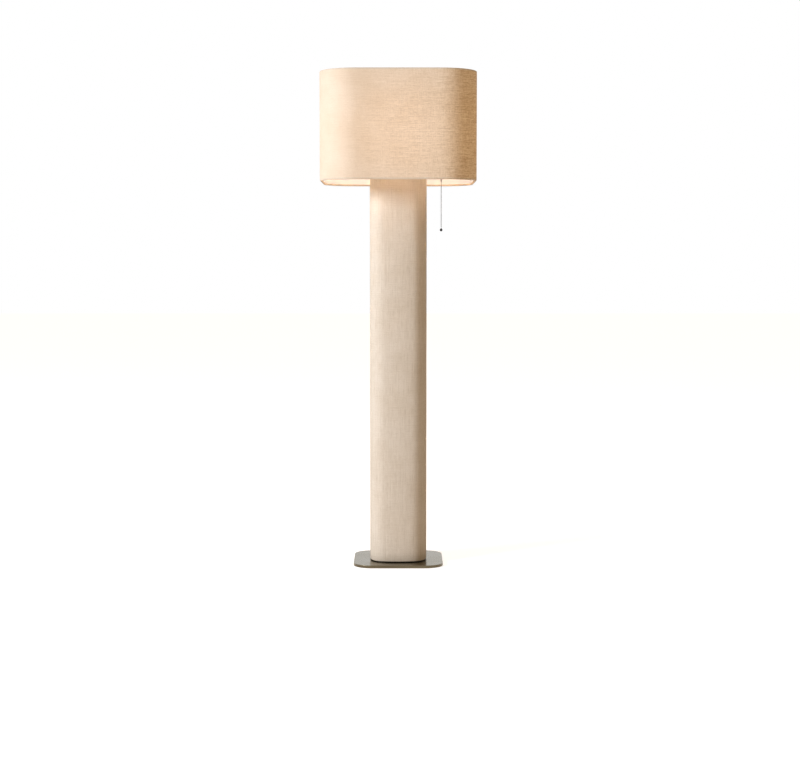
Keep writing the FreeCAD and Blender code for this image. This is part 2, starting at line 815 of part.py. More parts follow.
def bulb_dome():
    """An opal dome, hollow, with its mouth on the collar."""
    low, middle, wall = bulb_collar_top, bulb_middle, bulb_wall
    inner = bulb_radius - wall
    mouth = math.sqrt(inner ** 2 - bulb_dome_below ** 2)
    dome = Outline(dome_edge(), low).arc((bulb_radius * math.cos(0.5), middle + bulb_radius * math.sin(0.5)),
                                         (0, middle + bulb_radius))
    dome.line(0, middle + inner).arc((inner * math.cos(0.5), middle + inner * math.sin(0.5)), (mouth, low))
    return dome.turned()


# ---- harp -------------------------------------------------------------------------------------------
def harp_loop():
    half, foot = harp_width / 2, shoulder_height + harp_leg_lift
    knee = foot + harp_straight
    side = [at(0, leg_across, foot), at(0, leg_across, knee)]
    side += [at(0, half, knee + harp_flare), at(0, half, harp_top)]
    points = side + [at(0, -p.y, p.z) for p in reversed(side)]
    bends = [harp_flare_bend, 3 * harp_flare_bend, harp_top_bend]
    return rod("harp", points, bends + bends[::-1], harp_wire)


def harp_stud():
    """The turned boss on top of the harp, with the threaded stud for the finial."""
    boss = cylinder(stud_boss_radius, 0, 0, washer_bottom - stud_boss_height, washer_bottom)
    boss = boss.makeFillet(1.0, edges_at(boss, washer_bottom - stud_boss_height))
    stud = cylinder(stud_radius, 0, 0, washer_bottom, washer_bottom + stud_height)
    stud = stud.makeChamfer(0.6, edges_at(stud, washer_bottom + stud_height))
    return fused([boss, stud]).cut(harp_loop())


def locking_sleeve(side):
    """Slides down over the upright's tip and the harp's leg, and locks them together."""
    low, high = shoulder_height, shoulder_height + sleeve_height
    inner = saddle_span / 2 - saddle_thickness - run_gap
    outer = leg_across + harp_wire / 2 + run_gap
    half = max(saddle_tip_width, harp_wire) / 2 + run_gap
    wall = sleeve_wall
    body = block(-half - wall, half + wall, inner - wall, outer + wall, low, high)
    body = body.makeFillet(2 * wall, upright_edges(body))
    body = body.cut(block(-half, half, inner, outer, low, high))
    if side < 0:
        body.rotate(at(0, 0, 0), UP, 180)
    return body


def finial():
    """A turned cap nut: flange, neck and ball, bored from below for the stud."""
    low, top = washer_top, washer_top + finial_height
    ball, neck, base = finial_ball_radius, finial_neck_radius, finial_base_radius
    middle = top - ball
    join = middle - math.sqrt(ball ** 2 - neck ** 2)
    body = Outline(0, low).line(base, low).line(base, low + finial_base_height * 0.6)
    body.quarter((base - finial_base_height * 0.4, low + finial_base_height * 0.6),
                 (base - finial_base_height * 0.4, low + finial_base_height))
    body.line(neck, low + finial_base_height).line(neck, join).arc((ball, middle), (0, top))
    bore = cylinder(stud_radius + slip, 0, 0, low, washer_bottom + stud_height + 1)
    return body.turned().cut(bore)


# ---- shade ------------------------------------------------------------------------------------------
def spider_arm_path():
    """One arm from the washer out to the top ring, rising by the drop near the ring."""
    ring = shade_width / 2 - ring_inset
    return [at(spider_arm_start, 0, spider_height), at(ring - spider_rise_from, 0, spider_height),
            at(ring - spider_rise_to, 0, top_ring_height), at(ring, 0, top_ring_height)]


def shade_linen_cover():
    """The outer cloth, rolled over both ring wires, with a lap down the back where its ends meet."""
    half, cloth, bend = shade_width / 2, shade_linen, hem_radius
    inner = half - 2 * bend
    top, bottom = shade_top - bend, shade_bottom + bend
    turn, hollow = half - bend, bend - cloth
    section = Outline(half, bottom).line(half, top).roll((turn, top), bend, 0, 180)
    section.line(inner, top - hem_return).line(inner + cloth, top - hem_return).line(inner + cloth, top)
    section.roll((turn, top), hollow, 180, 0).line(half - cloth, bottom).roll((turn, bottom), hollow, 360, 180)
    section.line(inner + cloth, bottom + hem_return).line(inner, bottom + hem_return).line(inner, bottom)
    section.roll((turn, bottom), bend, 180, 360)
    cover = carried_round(section.face(), shade_width, shade_corner)
    lap = block(-lap_width / 2, lap_width / 2, half - cloth / 2, half + lap_height, bottom, top)
    cover = cover.fuse(lap).removeSplitter()
    room = spider_wire / 2 + run_gap
    for i in range(spider_arm_count):
        notch = block(inner - 1, half - ring_inset + 0.01, -room, room, top - hem_return - 1, top + room)
        notch.rotate(at(0, 0, 0), UP, 360 / spider_arm_count * i)
        cover = cover.cut(notch)
    return cover


def shade_liner_sheet():
    return square_tube(shade_width - 2 * shade_linen, shade_corner - shade_linen, shade_liner,
                       bottom_ring_height, top_ring_height)


def shade_ring(height):
    """A wire ring, as a ring of flat faces that fit inside the rolled hem."""
    centre, radius = shade_width / 2 - ring_inset, ring_wire / 2 - slip
    angles = [2 * math.pi * i / ring_faces for i in range(ring_faces)]
    points = [(centre + radius * math.cos(a), height + radius * math.sin(a)) for a in angles]
    section = Outline(*points[0])
    for point in points[1:]:
        section.line(*point)
    return carried_round(section.face(), shade_width, shade_corner)


def shade_spider():
    """Arms and washer welded into one piece; each arm ends on the top ring."""
    washer = cylinder(spider_washer_radius, 0, 0, washer_bottom, washer_top)
    arm = rod("spider_arm", spider_arm_path(), (spider_bend, spider_bend), spider_wire)
    arm = arm.cut(shade_ring(top_ring_height)).Solids[0]
    arms = []
    for i in range(spider_arm_count):
        copy = arm.copy()
        copy.rotate(at(0, 0, 0), UP, 360 / spider_arm_count * i)
        arms.append(copy)
    return fused([washer] + arms).cut(cylinder(stud_radius + stud_fit, 0, 0, washer_bottom, washer_top))


# ---- pull switch ------------------------------------------------------------------------------------
def rivet_places():
    """Two corners of the housing, as (x, z)."""
    back = arm_reach - switch_back + rivet_inset
    return [(back, arm_top + rivet_inset), (back, arm_top + switch_height - rivet_inset)]


def rivet_holes():
    half = switch_depth / 2
    return [cylinder_y(rivet_diameter / 2, x, z, -half, half) for x, z in rivet_places()]


def switch_box(front, back):
    left, right = arm_reach - switch_back, arm_reach + switch_front
    box = block(left, right, front, back, arm_top, arm_top + switch_height)
    return box.makeFillet(switch_edge, [e for e in box.Edges if e.BoundBox.YLength > back - front - 1e-4])


def switch_housing():
    """The deep half of the moulded case, with a boss for the axle."""
    front, split = -switch_depth / 2, switch_depth / 2 - switch_cover
    wall = switch_wall
    body = switch_box(front, split)
    left, right = arm_reach - switch_back + wall, arm_reach + switch_front - wall
    body = body.cut(block(left, right, front + wall, split, switch_floor, arm_top + switch_height - wall))
    boss = cylinder_y(axle_diameter / 2 + 1.6, wheel_across, wheel_height, front + wall / 2,
                      -wheel_width / 2 - run_gap)
    pillars = [cylinder_y(rivet_inset, x, z, front + wall / 2, split) for x, z in rivet_places()]
    body = fused([body, boss] + pillars)
    body = body.common(switch_box(front, split))
    body = body.cut(cylinder_y(axle_diameter / 2, wheel_across, wheel_height, front + wall / 2, split))
    body = body.cut(cylinder(bushing_diameter / 2, arm_reach, 0, arm_top, switch_floor))
    lead = Part.makeCylinder(lead_diameter / 2, wall * 2,
                             at(arm_reach - switch_back - wall, 0, lead_end_height), at(1, 0, 0))
    return cut_all(body.cut(lead), rivet_holes())


def switch_cover_plate():
    split, back = switch_depth / 2 - switch_cover, switch_depth / 2
    plate = switch_box(split, back)
    plate = plate.cut(cylinder_y(axle_diameter / 2, wheel_across, wheel_height, split, back))
    return cut_all(plate, rivet_holes())


def switch_rivets():
    """Hollow rivets that close the case."""
    half = switch_depth / 2
    rivets = []
    for x, z in rivet_places():
        shank = cylinder_y(rivet_diameter / 2, x, z, -half, half)
        heads = [cylinder_y(rivet_head / 2, x, z, half, half + rivet_head_height),
                 cylinder_y(rivet_head / 2, x, z, -half - rivet_head_height, -half)]
        hollow = cylinder_y(rivet_diameter / 4, x, z, -half - rivet_head_height, half + rivet_head_height)
        rivets.append(fused([shank] + heads).cut(hollow))
    return rivets


def switch_axle():
    return cylinder_y(axle_diameter / 2, wheel_across, wheel_height,
                      -switch_depth / 2 + switch_wall / 2, switch_depth / 2)


def switch_bushing():
    """The threaded tube that fixes the switch in the arm and guides the chain."""
    flange = cylinder(bushing_flange / 2, arm_reach, 0, switch_floor, bushing_top)
    body = cylinder(bushing_diameter / 2, arm_reach, 0, bushing_bottom, switch_floor)
    bore = cylinder(bushing_bore / 2, arm_reach, 0, bushing_bottom, bushing_top)
    whole = fused([flange, body]).cut(bore)
    left, right = arm_reach - switch_back + switch_wall, arm_reach + switch_front - switch_wall
    front, back = -switch_depth / 2 + switch_wall, switch_depth / 2 - switch_cover
    room = block(left, right, front, back, bushing_bottom, bushing_top)
    return whole.common(room)


def ring_nut():
    """A knurled ring nut under the arm."""
    low, high = arm_top - arm_thickness - ring_nut_thickness, arm_top - arm_thickness
    nut = cylinder(ring_nut_diameter / 2, arm_reach, 0, low, high)
    nut = nut.cut(cylinder(bushing_diameter / 2, arm_reach, 0, low, high))
    for i in range(ring_nut_notches):
        angle = 2 * math.pi * i / ring_nut_notches
        x, y = arm_reach + math.cos(angle) * ring_nut_diameter / 2, math.sin(angle) * ring_nut_diameter / 2
        nut = nut.cut(cylinder(0.6, x, y, low, high))
    return nut


def switch_bell():
    """The turned guide screwed on the bushing, flared so that the chain can be pulled at an angle."""
    grip, throat = bushing_diameter / 2, bushing_bore / 2
    mouth, low, high = throat + bell_flare, bell_bottom, bell_top
    bell = Outline(grip, high).line(bell_radius, high).line(bell_radius, low + bell_flare + 2)
    bell.line(bell_radius - 0.8, low + bell_flare + 1).line(bell_radius - 0.8, low + bell_flare)
    bell.arc((bell_radius - 0.5, low + 1.2), (mouth + 1.0, low)).line(mouth, low)
    bell.quarter((mouth, low + bell_flare), (throat, low + bell_flare))
    bell.line(throat, bushing_bottom).line(grip, bushing_bottom)
    return on_chain_line(bell)


def pull_wheel():
    """The grooved wheel that the chain turns against its spring."""
    half, rim = wheel_width / 2, wheel_pitch_radius + wheel_rim
    groove = bead_diameter / 2 + run_gap
    section = Outline(axle_diameter / 2 + axle_fit, -half).line(rim, -half).line(rim, -groove)
    section.line(wheel_pitch_radius, -groove)
    section.arc((wheel_pitch_radius - groove, 0), (wheel_pitch_radius, groove))
    section.line(rim, groove).line(rim, half).line(axle_diameter / 2 + axle_fit, half)
    wheel = section.turned()
    wheel.rotate(at(0, 0, 0), at(1, 0, 0), 90)
    wheel.translate(at(wheel_across, 0, wheel_height))
    return wheel


def ratchet_cam():
    """The toothed cam beside the wheel; each pull moves it on by one tooth."""
    inner, outer = cam_radius - cam_tooth, cam_radius
    points = []
    for i in range(cam_teeth):
        angle = 2 * math.pi * i / cam_teeth
        for radius, turn in ((inner, 0.0), (outer, -0.04)):
            points.append(at(radius * math.cos(angle + turn), 0, radius * math.sin(angle + turn)))
    cam = Part.Face(Part.makePolygon(points + points[:1])).extrude(at(0, cam_width, 0))
    cam.translate(at(wheel_across, wheel_width / 2 + cam_gap, wheel_height))
    return cam.cut(cylinder_y(axle_diameter / 2 + axle_fit, wheel_across, wheel_height, 0, switch_depth))


def contact_blades():
    """Two brass blades on the case's back wall, beside the cam."""
    front = wheel_width / 2 + cam_gap
    near = wheel_across - cam_radius - blade_gap
    far = near - blade_thickness - 2 * blade_gap
    low, high = switch_floor, arm_top + switch_height - switch_wall
    return [block(near - blade_thickness, near, front, front + cam_width, low, wheel_height + cam_radius),
            block(far - blade_thickness, far, front, front + cam_width, wheel_height - cam_radius, high)]


# ---- lead from lampholder to switch -----------------------------------------------------------------
def switch_lead():
    """A two-core lead that drops onto the arm and rises to the switch."""
    start, wall = holder_radius - lead_start_in, arm_reach - switch_back
    last = wall - lead_run_in / 2
    points = [at(start, 0, lead_height), at(lead_out, 0, lead_height), at(lead_out + lead_run_in, 0, lead_low),
              at(last - lead_run_in, 0, lead_low), at(last, 0, lead_end_height),
              at(wall + switch_wall, 0, lead_end_height)]
    return rod("switch_lead", points, (22.0, 26.0, 26.0, 18.0), lead_diameter)


def lead_clip():
    """A saddle clip that ties the lead to the arm."""
    left, z = arm_screw_to + 2 * lead_clip_width, lead_low
    right, reach = left + lead_clip_width, lead_diameter / 2 + lead_clip_lug
    base = block(left, right, -reach, reach, arm_top, z)
    top = Part.makeCylinder(reach, lead_clip_width, at(left, 0, z), at(1, 0, 0))
    top = top.common(block(left, right, -reach, reach, z, z + reach))
    hole = Part.makeCylinder(lead_diameter / 2 + slip, lead_clip_width, at(left, 0, z), at(1, 0, 0))
    return fused([base, top]).cut(hole)


# ---- pull chain -------------------------------------------------------------------------------------
def on_chain_line(outline):
    shape = outline.turned()
    shape.translate(at(arm_reach, 0, 0))
    return shape


def bead_string(top, count, tail_up, tail_down):
    """Ball chain hanging from its top bead's centre, with a link above and below it, as one turned solid."""
    bead, link = bead_diameter / 2, link_diameter / 2
    reach = math.sqrt(bead ** 2 - link ** 2)
    last = top - (count - 1) * bead_pitch
    chain = Outline(0, last - tail_down).line(link, last - tail_down)
    for i in range(count):
        centre = last + i * bead_pitch
        chain.line(link, centre - reach).arc((bead, centre), (link, centre + reach))
    chain.line(link, top + tail_up).line(0, top + tail_up)
    return on_chain_line(chain)


def head_chain():
    """The beads inside the switch and its bushing, which only travel up and down."""
    lowest = pivot_height + bead_pitch
    top = lowest + (head_beads - 1) * bead_pitch
    tail = bead_pitch - bead_diameter / 2 - joint_gap
    return bead_string(top, head_beads, bead_diameter / 2 + run_gap, tail)


def anchor_chain():
    """The last beads, wrapped on the wheel above the straight chain."""
    step = bead_pitch / wheel_pitch_radius
    top_of_head = pivot_height + head_beads * bead_pitch
    first = step - (wheel_height - top_of_head) / wheel_pitch_radius
    pieces = []
    for i in range(wheel_beads):
        angle = first + i * step
        x = wheel_across + wheel_pitch_radius * math.cos(angle)
        z = wheel_height + wheel_pitch_radius * math.sin(angle)
        pieces.append(Part.makeSphere(bead_diameter / 2, at(x, 0, z)))
        if i:
            run = at(x, 0, z) - last
            pieces.append(Part.makeCylinder(link_diameter / 2, run.Length, last, run))
        last = at(x, 0, z)
    return fused(pieces)


def pivot_bead():
    return Part.makeSphere(bead_diameter / 2, at(arm_reach, 0, pivot_height))


def pull_chain():
    """The hanging chain, from under the pivot bead down to the ball's neck."""
    ball_top = pivot_height - chain_drop + ball_diameter / 2 + ball_neck_height
    first = pivot_height - bead_pitch
    count = int((first - ball_top - bead_diameter / 2) // bead_pitch) + 1
    last = first - (count - 1) * bead_pitch
    return bead_string(first, count, bead_pitch - bead_diameter / 2 - joint_gap, last - ball_top)


def chain_coupling():
    """A split sleeve closed on one bead, which joins the switch's chain to the longer one."""
    middle = pivot_height - coupling_bead * bead_pitch
    low, high = middle - coupling_length / 2, middle + coupling_length / 2
    inner = bead_diameter / 2
    rim, outer = inner + coupling_wall / 2, inner + coupling_wall
    sleeve = Outline(inner, low + 1).line(rim, low).line(outer, low + 1)
    sleeve.line(outer, high - 1).line(rim, high).line(inner, high - 1)
    return on_chain_line(sleeve)


def pull_ball():
    """The turned ball at the end of the chain, with a short neck."""
    middle = pivot_height - chain_drop
    radius = ball_diameter / 2
    neck = ball_neck / 2
    join = middle + math.sqrt(radius ** 2 - neck ** 2)
    top = middle + radius + ball_neck_height
    ball = Outline(0, middle - radius).arc((radius, middle), (neck, join)).line(neck, top - 0.5)
    ball.line(neck - 0.5, top).line(0, top)
    return on_chain_line(ball)


nodes = {
    "floor_mat": floor_mat,
    "base_plate": base_plate,
    "base_bolts": base_bolts,
    "foot_plate": foot_plate,
    "foot_board": foot_board,
    "foot_inserts": foot_inserts,
    "column_core": column_core,
    "column_padding": column_padding,
    "column_linen": column_linen,
    "top_board": top_board,
    "column_cap": column_cap,
    "wood_screws": lambda: board_screws() + arm_screws(),
    "cord_grommet": cord_grommet,
    "grommet_nut": grommet_nut,
    "terminal_block": terminal_block,
    "terminal_screws": terminal_screws,
    "inner_flex": inner_flex,
    "switch_lead": switch_lead,
    "cable_clips": lambda: flex_clips() + [lead_clip()],
    "lamp_tube": lamp_tube,
    "tube_washer": tube_washer,
    "tube_nuts": tube_nuts,
    "switch_arm": switch_arm,
    "harp_saddle": harp_saddle,
    "lampholder_cap": lampholder_cap,
    "lampholder_shell": lampholder_shell,
    "lampholder_core": lampholder_core,
    "screw_shell": screw_shell,
    "centre_contact": centre_contact,
    "bulb_tip": bulb_tip,
    "bulb_insulator": bulb_insulator,
    "bulb_cap": bulb_cap,
    "bulb_collar": bulb_collar,
    "bulb_dome": bulb_dome,
    "harp_loop": harp_loop,
    "harp_stud": harp_stud,
    "left_sleeve": lambda: locking_sleeve(1),
    "right_sleeve": lambda: locking_sleeve(-1),
    "finial": finial,
    "shade_linen": shade_linen_cover,
    "shade_liner": shade_liner_sheet,
    "shade_rings": lambda: [shade_ring(top_ring_height), shade_ring(bottom_ring_height)],
    "shade_spider": shade_spider,
    "switch_housing": switch_housing,
    "switch_cover": switch_cover_plate,
    "switch_rivets": switch_rivets,
    "switch_axle": switch_axle,
    "switch_bushing": switch_bushing,
    "ring_nut": ring_nut,
    "switch_bell": switch_bell,
    "pull_wheel": pull_wheel,
    "ratchet_cam": ratchet_cam,
    "contact_blades": contact_blades,
    "anchor_beads": anchor_chain,
    "head_chain": head_chain,
    "pivot_bead": pivot_bead,
    "pull_chain": pull_chain,
    "chain_coupling": chain_coupling,
    "pull_ball": pull_ball,
}

os.makedirs("parts", exist_ok=True)
for name, make in nodes.items():
    made = make()
    shape = Part.makeCompound(made) if isinstance(made, list) else made
    box = shape.BoundBox
    print(f"{name}: solids {len(shape.Solids)}, valid {shape.isValid()}, volume {shape.Volume:.1f}, "
          f"z {box.ZMin:.1f} to {box.ZMax:.1f}")
    shape.exportStep(f"parts/{name}.step")
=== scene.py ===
import math

import bmesh
import bpy
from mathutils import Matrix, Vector


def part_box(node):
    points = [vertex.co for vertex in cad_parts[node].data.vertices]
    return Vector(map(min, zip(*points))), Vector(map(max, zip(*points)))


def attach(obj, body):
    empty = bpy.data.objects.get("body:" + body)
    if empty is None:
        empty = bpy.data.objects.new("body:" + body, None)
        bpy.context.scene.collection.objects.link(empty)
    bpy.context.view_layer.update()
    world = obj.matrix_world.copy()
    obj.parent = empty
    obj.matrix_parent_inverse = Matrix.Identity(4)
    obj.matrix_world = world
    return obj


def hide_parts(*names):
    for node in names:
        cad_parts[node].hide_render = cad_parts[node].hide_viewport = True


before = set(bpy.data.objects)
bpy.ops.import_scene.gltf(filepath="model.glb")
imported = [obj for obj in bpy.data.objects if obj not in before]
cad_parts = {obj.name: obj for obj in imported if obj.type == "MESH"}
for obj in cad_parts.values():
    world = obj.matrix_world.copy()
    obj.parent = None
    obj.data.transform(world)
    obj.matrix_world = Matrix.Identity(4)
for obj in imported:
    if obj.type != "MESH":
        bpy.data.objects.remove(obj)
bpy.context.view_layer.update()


# ---- Studio -------------------------------------------------------------------------------------------
# A white sweep that the camera and every reflection see as plain white, a large soft lamp to the left of
# the camera and a little above the shade, and weak warm light from all round.
def add(tree, kind, *inputs, **settings):
    """One shader node; inputs fill its sockets in order, and None leaves one alone."""
    made = tree.nodes.new("ShaderNode" + kind)
    for key, value in settings.items():
        setattr(made, key, value)
    for socket, value in zip(made.inputs, inputs):
        if isinstance(value, bpy.types.NodeSocket):
            tree.links.new(value, socket)
        elif value is not None:
            socket.default_value = value
    return made.outputs[0]


def maths(tree, operation, *values):
    """One Math node, such as the product of two values."""
    return add(tree, "Math", *values, operation=operation)


def seen_directly(tree):
    """1 for rays from the camera, and for those that a reflection or a clear surface sends on."""
    rays = tree.nodes.new("ShaderNodeLightPath")
    seen = maths(tree, "MAXIMUM", rays.outputs["Is Camera Ray"], rays.outputs["Is Glossy Ray"])
    return maths(tree, "MAXIMUM", seen, rays.outputs["Is Transmission Ray"])


room_light = (1.0, 0.78, 0.53)
room_strength = 0.44
world = bpy.data.worlds.new("studio")
world.use_nodes = True
bpy.context.scene.world = world
tree = world.node_tree
room = tree.nodes["Background"]
room.inputs["Color"].default_value = (*room_light, 1.0)
room.inputs["Strength"].default_value = room_strength
white = add(tree, "Background", (1.0, 1.0, 1.0, 1.0), 1.0)
seen = add(tree, "MixShader", seen_directly(tree), room.outputs[0], white)
tree.links.new(seen, tree.nodes["World Output"].inputs["Surface"])

floor_width = 60.0
floor_colour = (0.80, 0.75, 0.70, 1.0)
floor_white = 0.80
bpy.ops.object.select_all(action="DESELECT")
bpy.ops.mesh.primitive_plane_add(size=floor_width, location=(0.0, 0.0, 0.0))
floor = bpy.context.object
floor.name = "studio_floor"
paper = bpy.data.materials.new("white_paper")
paper.use_nodes = True
tree = paper.node_tree
tree.nodes.remove(tree.nodes["Principled BSDF"])
matt = add(tree, "BsdfDiffuse", floor_colour)
lit = add(tree, "Emission", (1.0, 1.0, 1.0, 1.0), floor_white)
bright = add(tree, "AddShader", matt, lit)
paper_shader = add(tree, "MixShader", seen_directly(tree), matt, bright)
tree.links.new(paper_shader, tree.nodes["Material Output"].inputs["Surface"])
floor.data.materials.append(paper)

key_turn = math.radians(56.0)        # to the left of the camera's line
key_rise = math.radians(12.2)
key_distance = 8.0
key_aim = Vector((0.0, 0.0, 1.45))
key_away = Vector((-math.sin(key_turn) * math.cos(key_rise), -math.cos(key_turn) * math.cos(key_rise),
                   math.sin(key_rise)))
bpy.ops.object.light_add(type="AREA", location=key_aim + key_away * key_distance)
key = bpy.context.object
key.name = "key_softbox"
key.rotation_euler = (-key_away).to_track_quat("-Z", "Y").to_euler()
key.data.shape = "RECTANGLE"
key.data.size = 2.6
key.data.size_y = 1.9
key.data.energy = 642.0
key.data.color = (0.90, 0.985, 1.11)

camera_place = (0.0064, -6.225, 1.1209)
camera_pitch = math.radians(4.133)   # looking down
bpy.ops.object.camera_add(location=camera_place, rotation=(math.pi / 2 - camera_pitch, 0.0, 0.0))
camera = bpy.context.object
camera.data.sensor_width = 36.0
camera.data.lens = 75.41
camera.data.clip_end = 100.0
bpy.context.scene.camera = camera
bpy.context.scene.view_settings.view_transform = "Standard"


# ---- Floor mat ----------------------------------------------------------------------------------------
# A thin sheet of black rubber with round corners, glued under the base plate, so that steel never meets
# the floor. It has a fine moulded grain.
def new_finish(name, **constants):
    """A material, its node tree and its shader, whose constants hold all over the surface."""
    made = bpy.data.materials.new(name)
    made.use_nodes = True
    shader = made.node_tree.nodes["Principled BSDF"]
    for key, value in constants.items():
        shader.inputs[key.replace("_", " ")].default_value = value
    return made, made.node_tree, shader


def noise(tree, place, per_metre, detail=2.0, roughness=0.5):
    """Soft noise; per_metre is how closely its marks follow each other along x, y and z."""
    spread = add(tree, "Mapping", place, None, None, per_metre)
    return add(tree, "TexNoise", spread, None, 1.0, detail, roughness)


def between(tree, value, low, high, out_low=0.0, out_high=1.0):
    """value taken from low..high to out_low..out_high with soft ends."""
    return add(tree, "MapRange", value, low, high, out_low, out_high, interpolation_type="SMOOTHSTEP")


def mixed(tree, factor, first, second, mode="MIX"):
    """Two colours mixed by factor."""
    made = tree.nodes.new("ShaderNodeMix")
    made.data_type = "RGBA"
    made.blend_type = mode
    for socket, value in ((made.inputs[0], factor), (made.inputs[6], first), (made.inputs[7], second)):
        if isinstance(value, bpy.types.NodeSocket):
            tree.links.new(value, socket)
        else:
            socket.default_value = (*value, 1.0) if isinstance(value, tuple) else value
    return made.outputs[2]


def dented(tree, shader, height, depth):
    """height, from 0 to 1, raises the surface by depth in metres."""
    bump = tree.nodes.new("ShaderNodeBump")
    bump.inputs["Strength"].default_value = 1.0
    bump.inputs["Distance"].default_value = depth
    tree.links.new(height, bump.inputs["Height"])
    tree.links.new(bump.outputs["Normal"], shader.inputs["Normal"])


def marked(name, dark, light, rough, marks, depth, drift=25.0, **constants):
    """A finish with two colours and two roughnesses: fine marks so many per metre along each axis, and
    a cloudy drift over the whole piece."""
    made, tree, shader = new_finish(name, **constants)
    place = tree.nodes.new("ShaderNodeTexCoord").outputs["Object"]
    fine = noise(tree, place, marks, 3.0, 0.6)
    cloud = noise(tree, place, (drift, drift, drift), 2.0)
    tone = between(tree, maths(tree, "ADD", fine, cloud), 0.65, 1.35)
    tree.links.new(mixed(tree, tone, dark, light), shader.inputs["Base Color"])
    gloss = between(tree, cloud, 0.3, 0.7, rough[0], rough[1])
    tree.links.new(gloss, shader.inputs["Roughness"])
    dented(tree, shader, fine, depth)
    return made


def dress(material, *nodes):
    """The CAD nodes that carry this finish."""
    for name in nodes:
        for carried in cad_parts[name].material_slots:
            carried.material = material


rubber = marked("mat_rubber", (0.018, 0.018, 0.019), (0.045, 0.044, 0.043), (0.78, 0.92),
                (1400.0, 1400.0, 1400.0), 0.00012, Specular_IOR_Level=0.3)
dress(rubber, "floor_mat")

# ---- Base plate ---------------------------------------------------------------------------------------
# A 10 mm steel plate with large corner radii, brushed from side to side and plated a dark bronze. The
# brush follows the rim round the edge, and handling has polished the rim a little lighter.
bronze_dark, bronze_light, bronze_rubbed = (0.085, 0.064, 0.036), (0.135, 0.108, 0.064), (0.24, 0.205, 0.14)
bronze, tree, shader = new_finish("brushed_bronze", Metallic=1.0, Coat_Weight=0.3, Coat_Roughness=0.06)
shader.inputs["Specular Tint"].default_value = (1.0, 0.985, 0.93, 1.0)
place = tree.nodes.new("ShaderNodeTexCoord").outputs["Object"]
facing = add(tree, "SeparateXYZ", tree.nodes.new("ShaderNodeNewGeometry").outputs["Normal"]).node
upward = maths(tree, "ABSOLUTE", facing.outputs["Z"])
on_top = between(tree, upward, 0.75, 0.95)
top_brush = noise(tree, place, (9.0, 850.0, 30.0), 4.0, 0.65)
rim_brush = noise(tree, place, (7.0, 7.0, 1300.0), 4.0, 0.65)
brush = mixed(tree, on_top, rim_brush, top_brush)
patina = noise(tree, place, (11.0, 14.0, 11.0), 4.0, 0.6)
tone = maths(tree, "ADD", brush, patina)
colour = mixed(tree, between(tree, tone, 0.7, 1.3), bronze_dark, bronze_light)
rub = noise(tree, place, (40.0, 40.0, 40.0), 2.0)
rim = maths(tree, "MULTIPLY", between(tree, upward, 0.12, 0.4), between(tree, upward, 0.98, 0.7))
rim = maths(tree, "MULTIPLY", rim, between(tree, rub, 0.35, 0.65, 0.25, 0.8))
tree.links.new(mixed(tree, rim, colour, bronze_rubbed), shader.inputs["Base Color"])
scratches = between(tree, brush, 0.25, 0.75, 0.0, 0.10)
dullness = between(tree, patina, 0.3, 0.7, 0.17, 0.24)
duller_rim = between(tree, upward, 0.6, 0.2, 0.0, 0.08)
gloss = maths(tree, "ADD", maths(tree, "ADD", scratches, dullness), duller_rim)
tree.links.new(gloss, shader.inputs["Roughness"])
dented(tree, shader, brush, 0.00006)
dress(bronze, "base_plate")

# ---- Bolts and foot plate -----------------------------------------------------------------------------
# Four zinc-plated socket-head bolts come up from counterbores under the plate, and a thin square of
# black powder-coated steel lifts the column off it, which leaves the dark gap all round.
zinc = marked("zinc_plating", (0.44, 0.45, 0.47), (0.66, 0.67, 0.68), (0.26, 0.42),
              (300.0, 300.0, 300.0), 0.00002, 70.0, Metallic=1.0)
dress(zinc, "base_bolts", "wood_screws", "lamp_tube", "tube_washer", "switch_arm", "switch_axle")
black_coat = marked("black_powder_coat", (0.009, 0.009, 0.009), (0.022, 0.021, 0.020), (0.5, 0.68),
                    (1100.0, 1100.0, 1100.0), 0.00006, Specular_IOR_Level=0.4)
dress(black_coat, "foot_plate")

# ---- Boards inside the column -------------------------------------------------------------------------
# Birch plywood, 18 mm at foot and top with the grain showing on the faces and the plies on the edges.
# Brass inserts in the foot board take the bolts.
birch_dark, birch_light, birch_line = (0.44, 0.29, 0.155), (0.66, 0.49, 0.31), (0.27, 0.165, 0.085)
ply_millimetres = 1.45


def plywood(name, across_layers, grain_marks, ring_marks):
    """across_layers(tree, place) gives how far a point is through the board, in metres."""
    made, tree, shader = new_finish(name, Specular_IOR_Level=0.35)
    place = tree.nodes.new("ShaderNodeTexCoord").outputs["Object"]
    pores = noise(tree, place, grain_marks, 4.0, 0.7)
    rings = noise(tree, place, ring_marks, 3.0, 0.5)
    tone = between(tree, maths(tree, "ADD", pores, rings), 0.7, 1.35)
    face = mixed(tree, tone, birch_dark, birch_light)
    through, edge = across_layers(tree, place)
    layer = maths(tree, "PINGPONG", maths(tree, "MULTIPLY", through, 1000.0 / ply_millimetres), 2.0)
    plies = mixed(tree, between(tree, layer, 0.85, 1.15), birch_dark, birch_light)
    glue = between(tree, maths(tree, "ABSOLUTE", maths(tree, "SUBTRACT", layer, 1.0)), 0.0, 0.1, 0.75, 0.0)
    plies = mixed(tree, glue, plies, birch_line)
    plies = mixed(tree, between(tree, pores, 0.35, 0.6, 0.35, 0.0), plies, birch_line)
    tree.links.new(mixed(tree, edge, face, plies), shader.inputs["Base Color"])
    tree.links.new(between(tree, pores, 0.3, 0.7, 0.72, 0.55), shader.inputs["Roughness"])
    dented(tree, shader, pores, 0.00008)
    return made


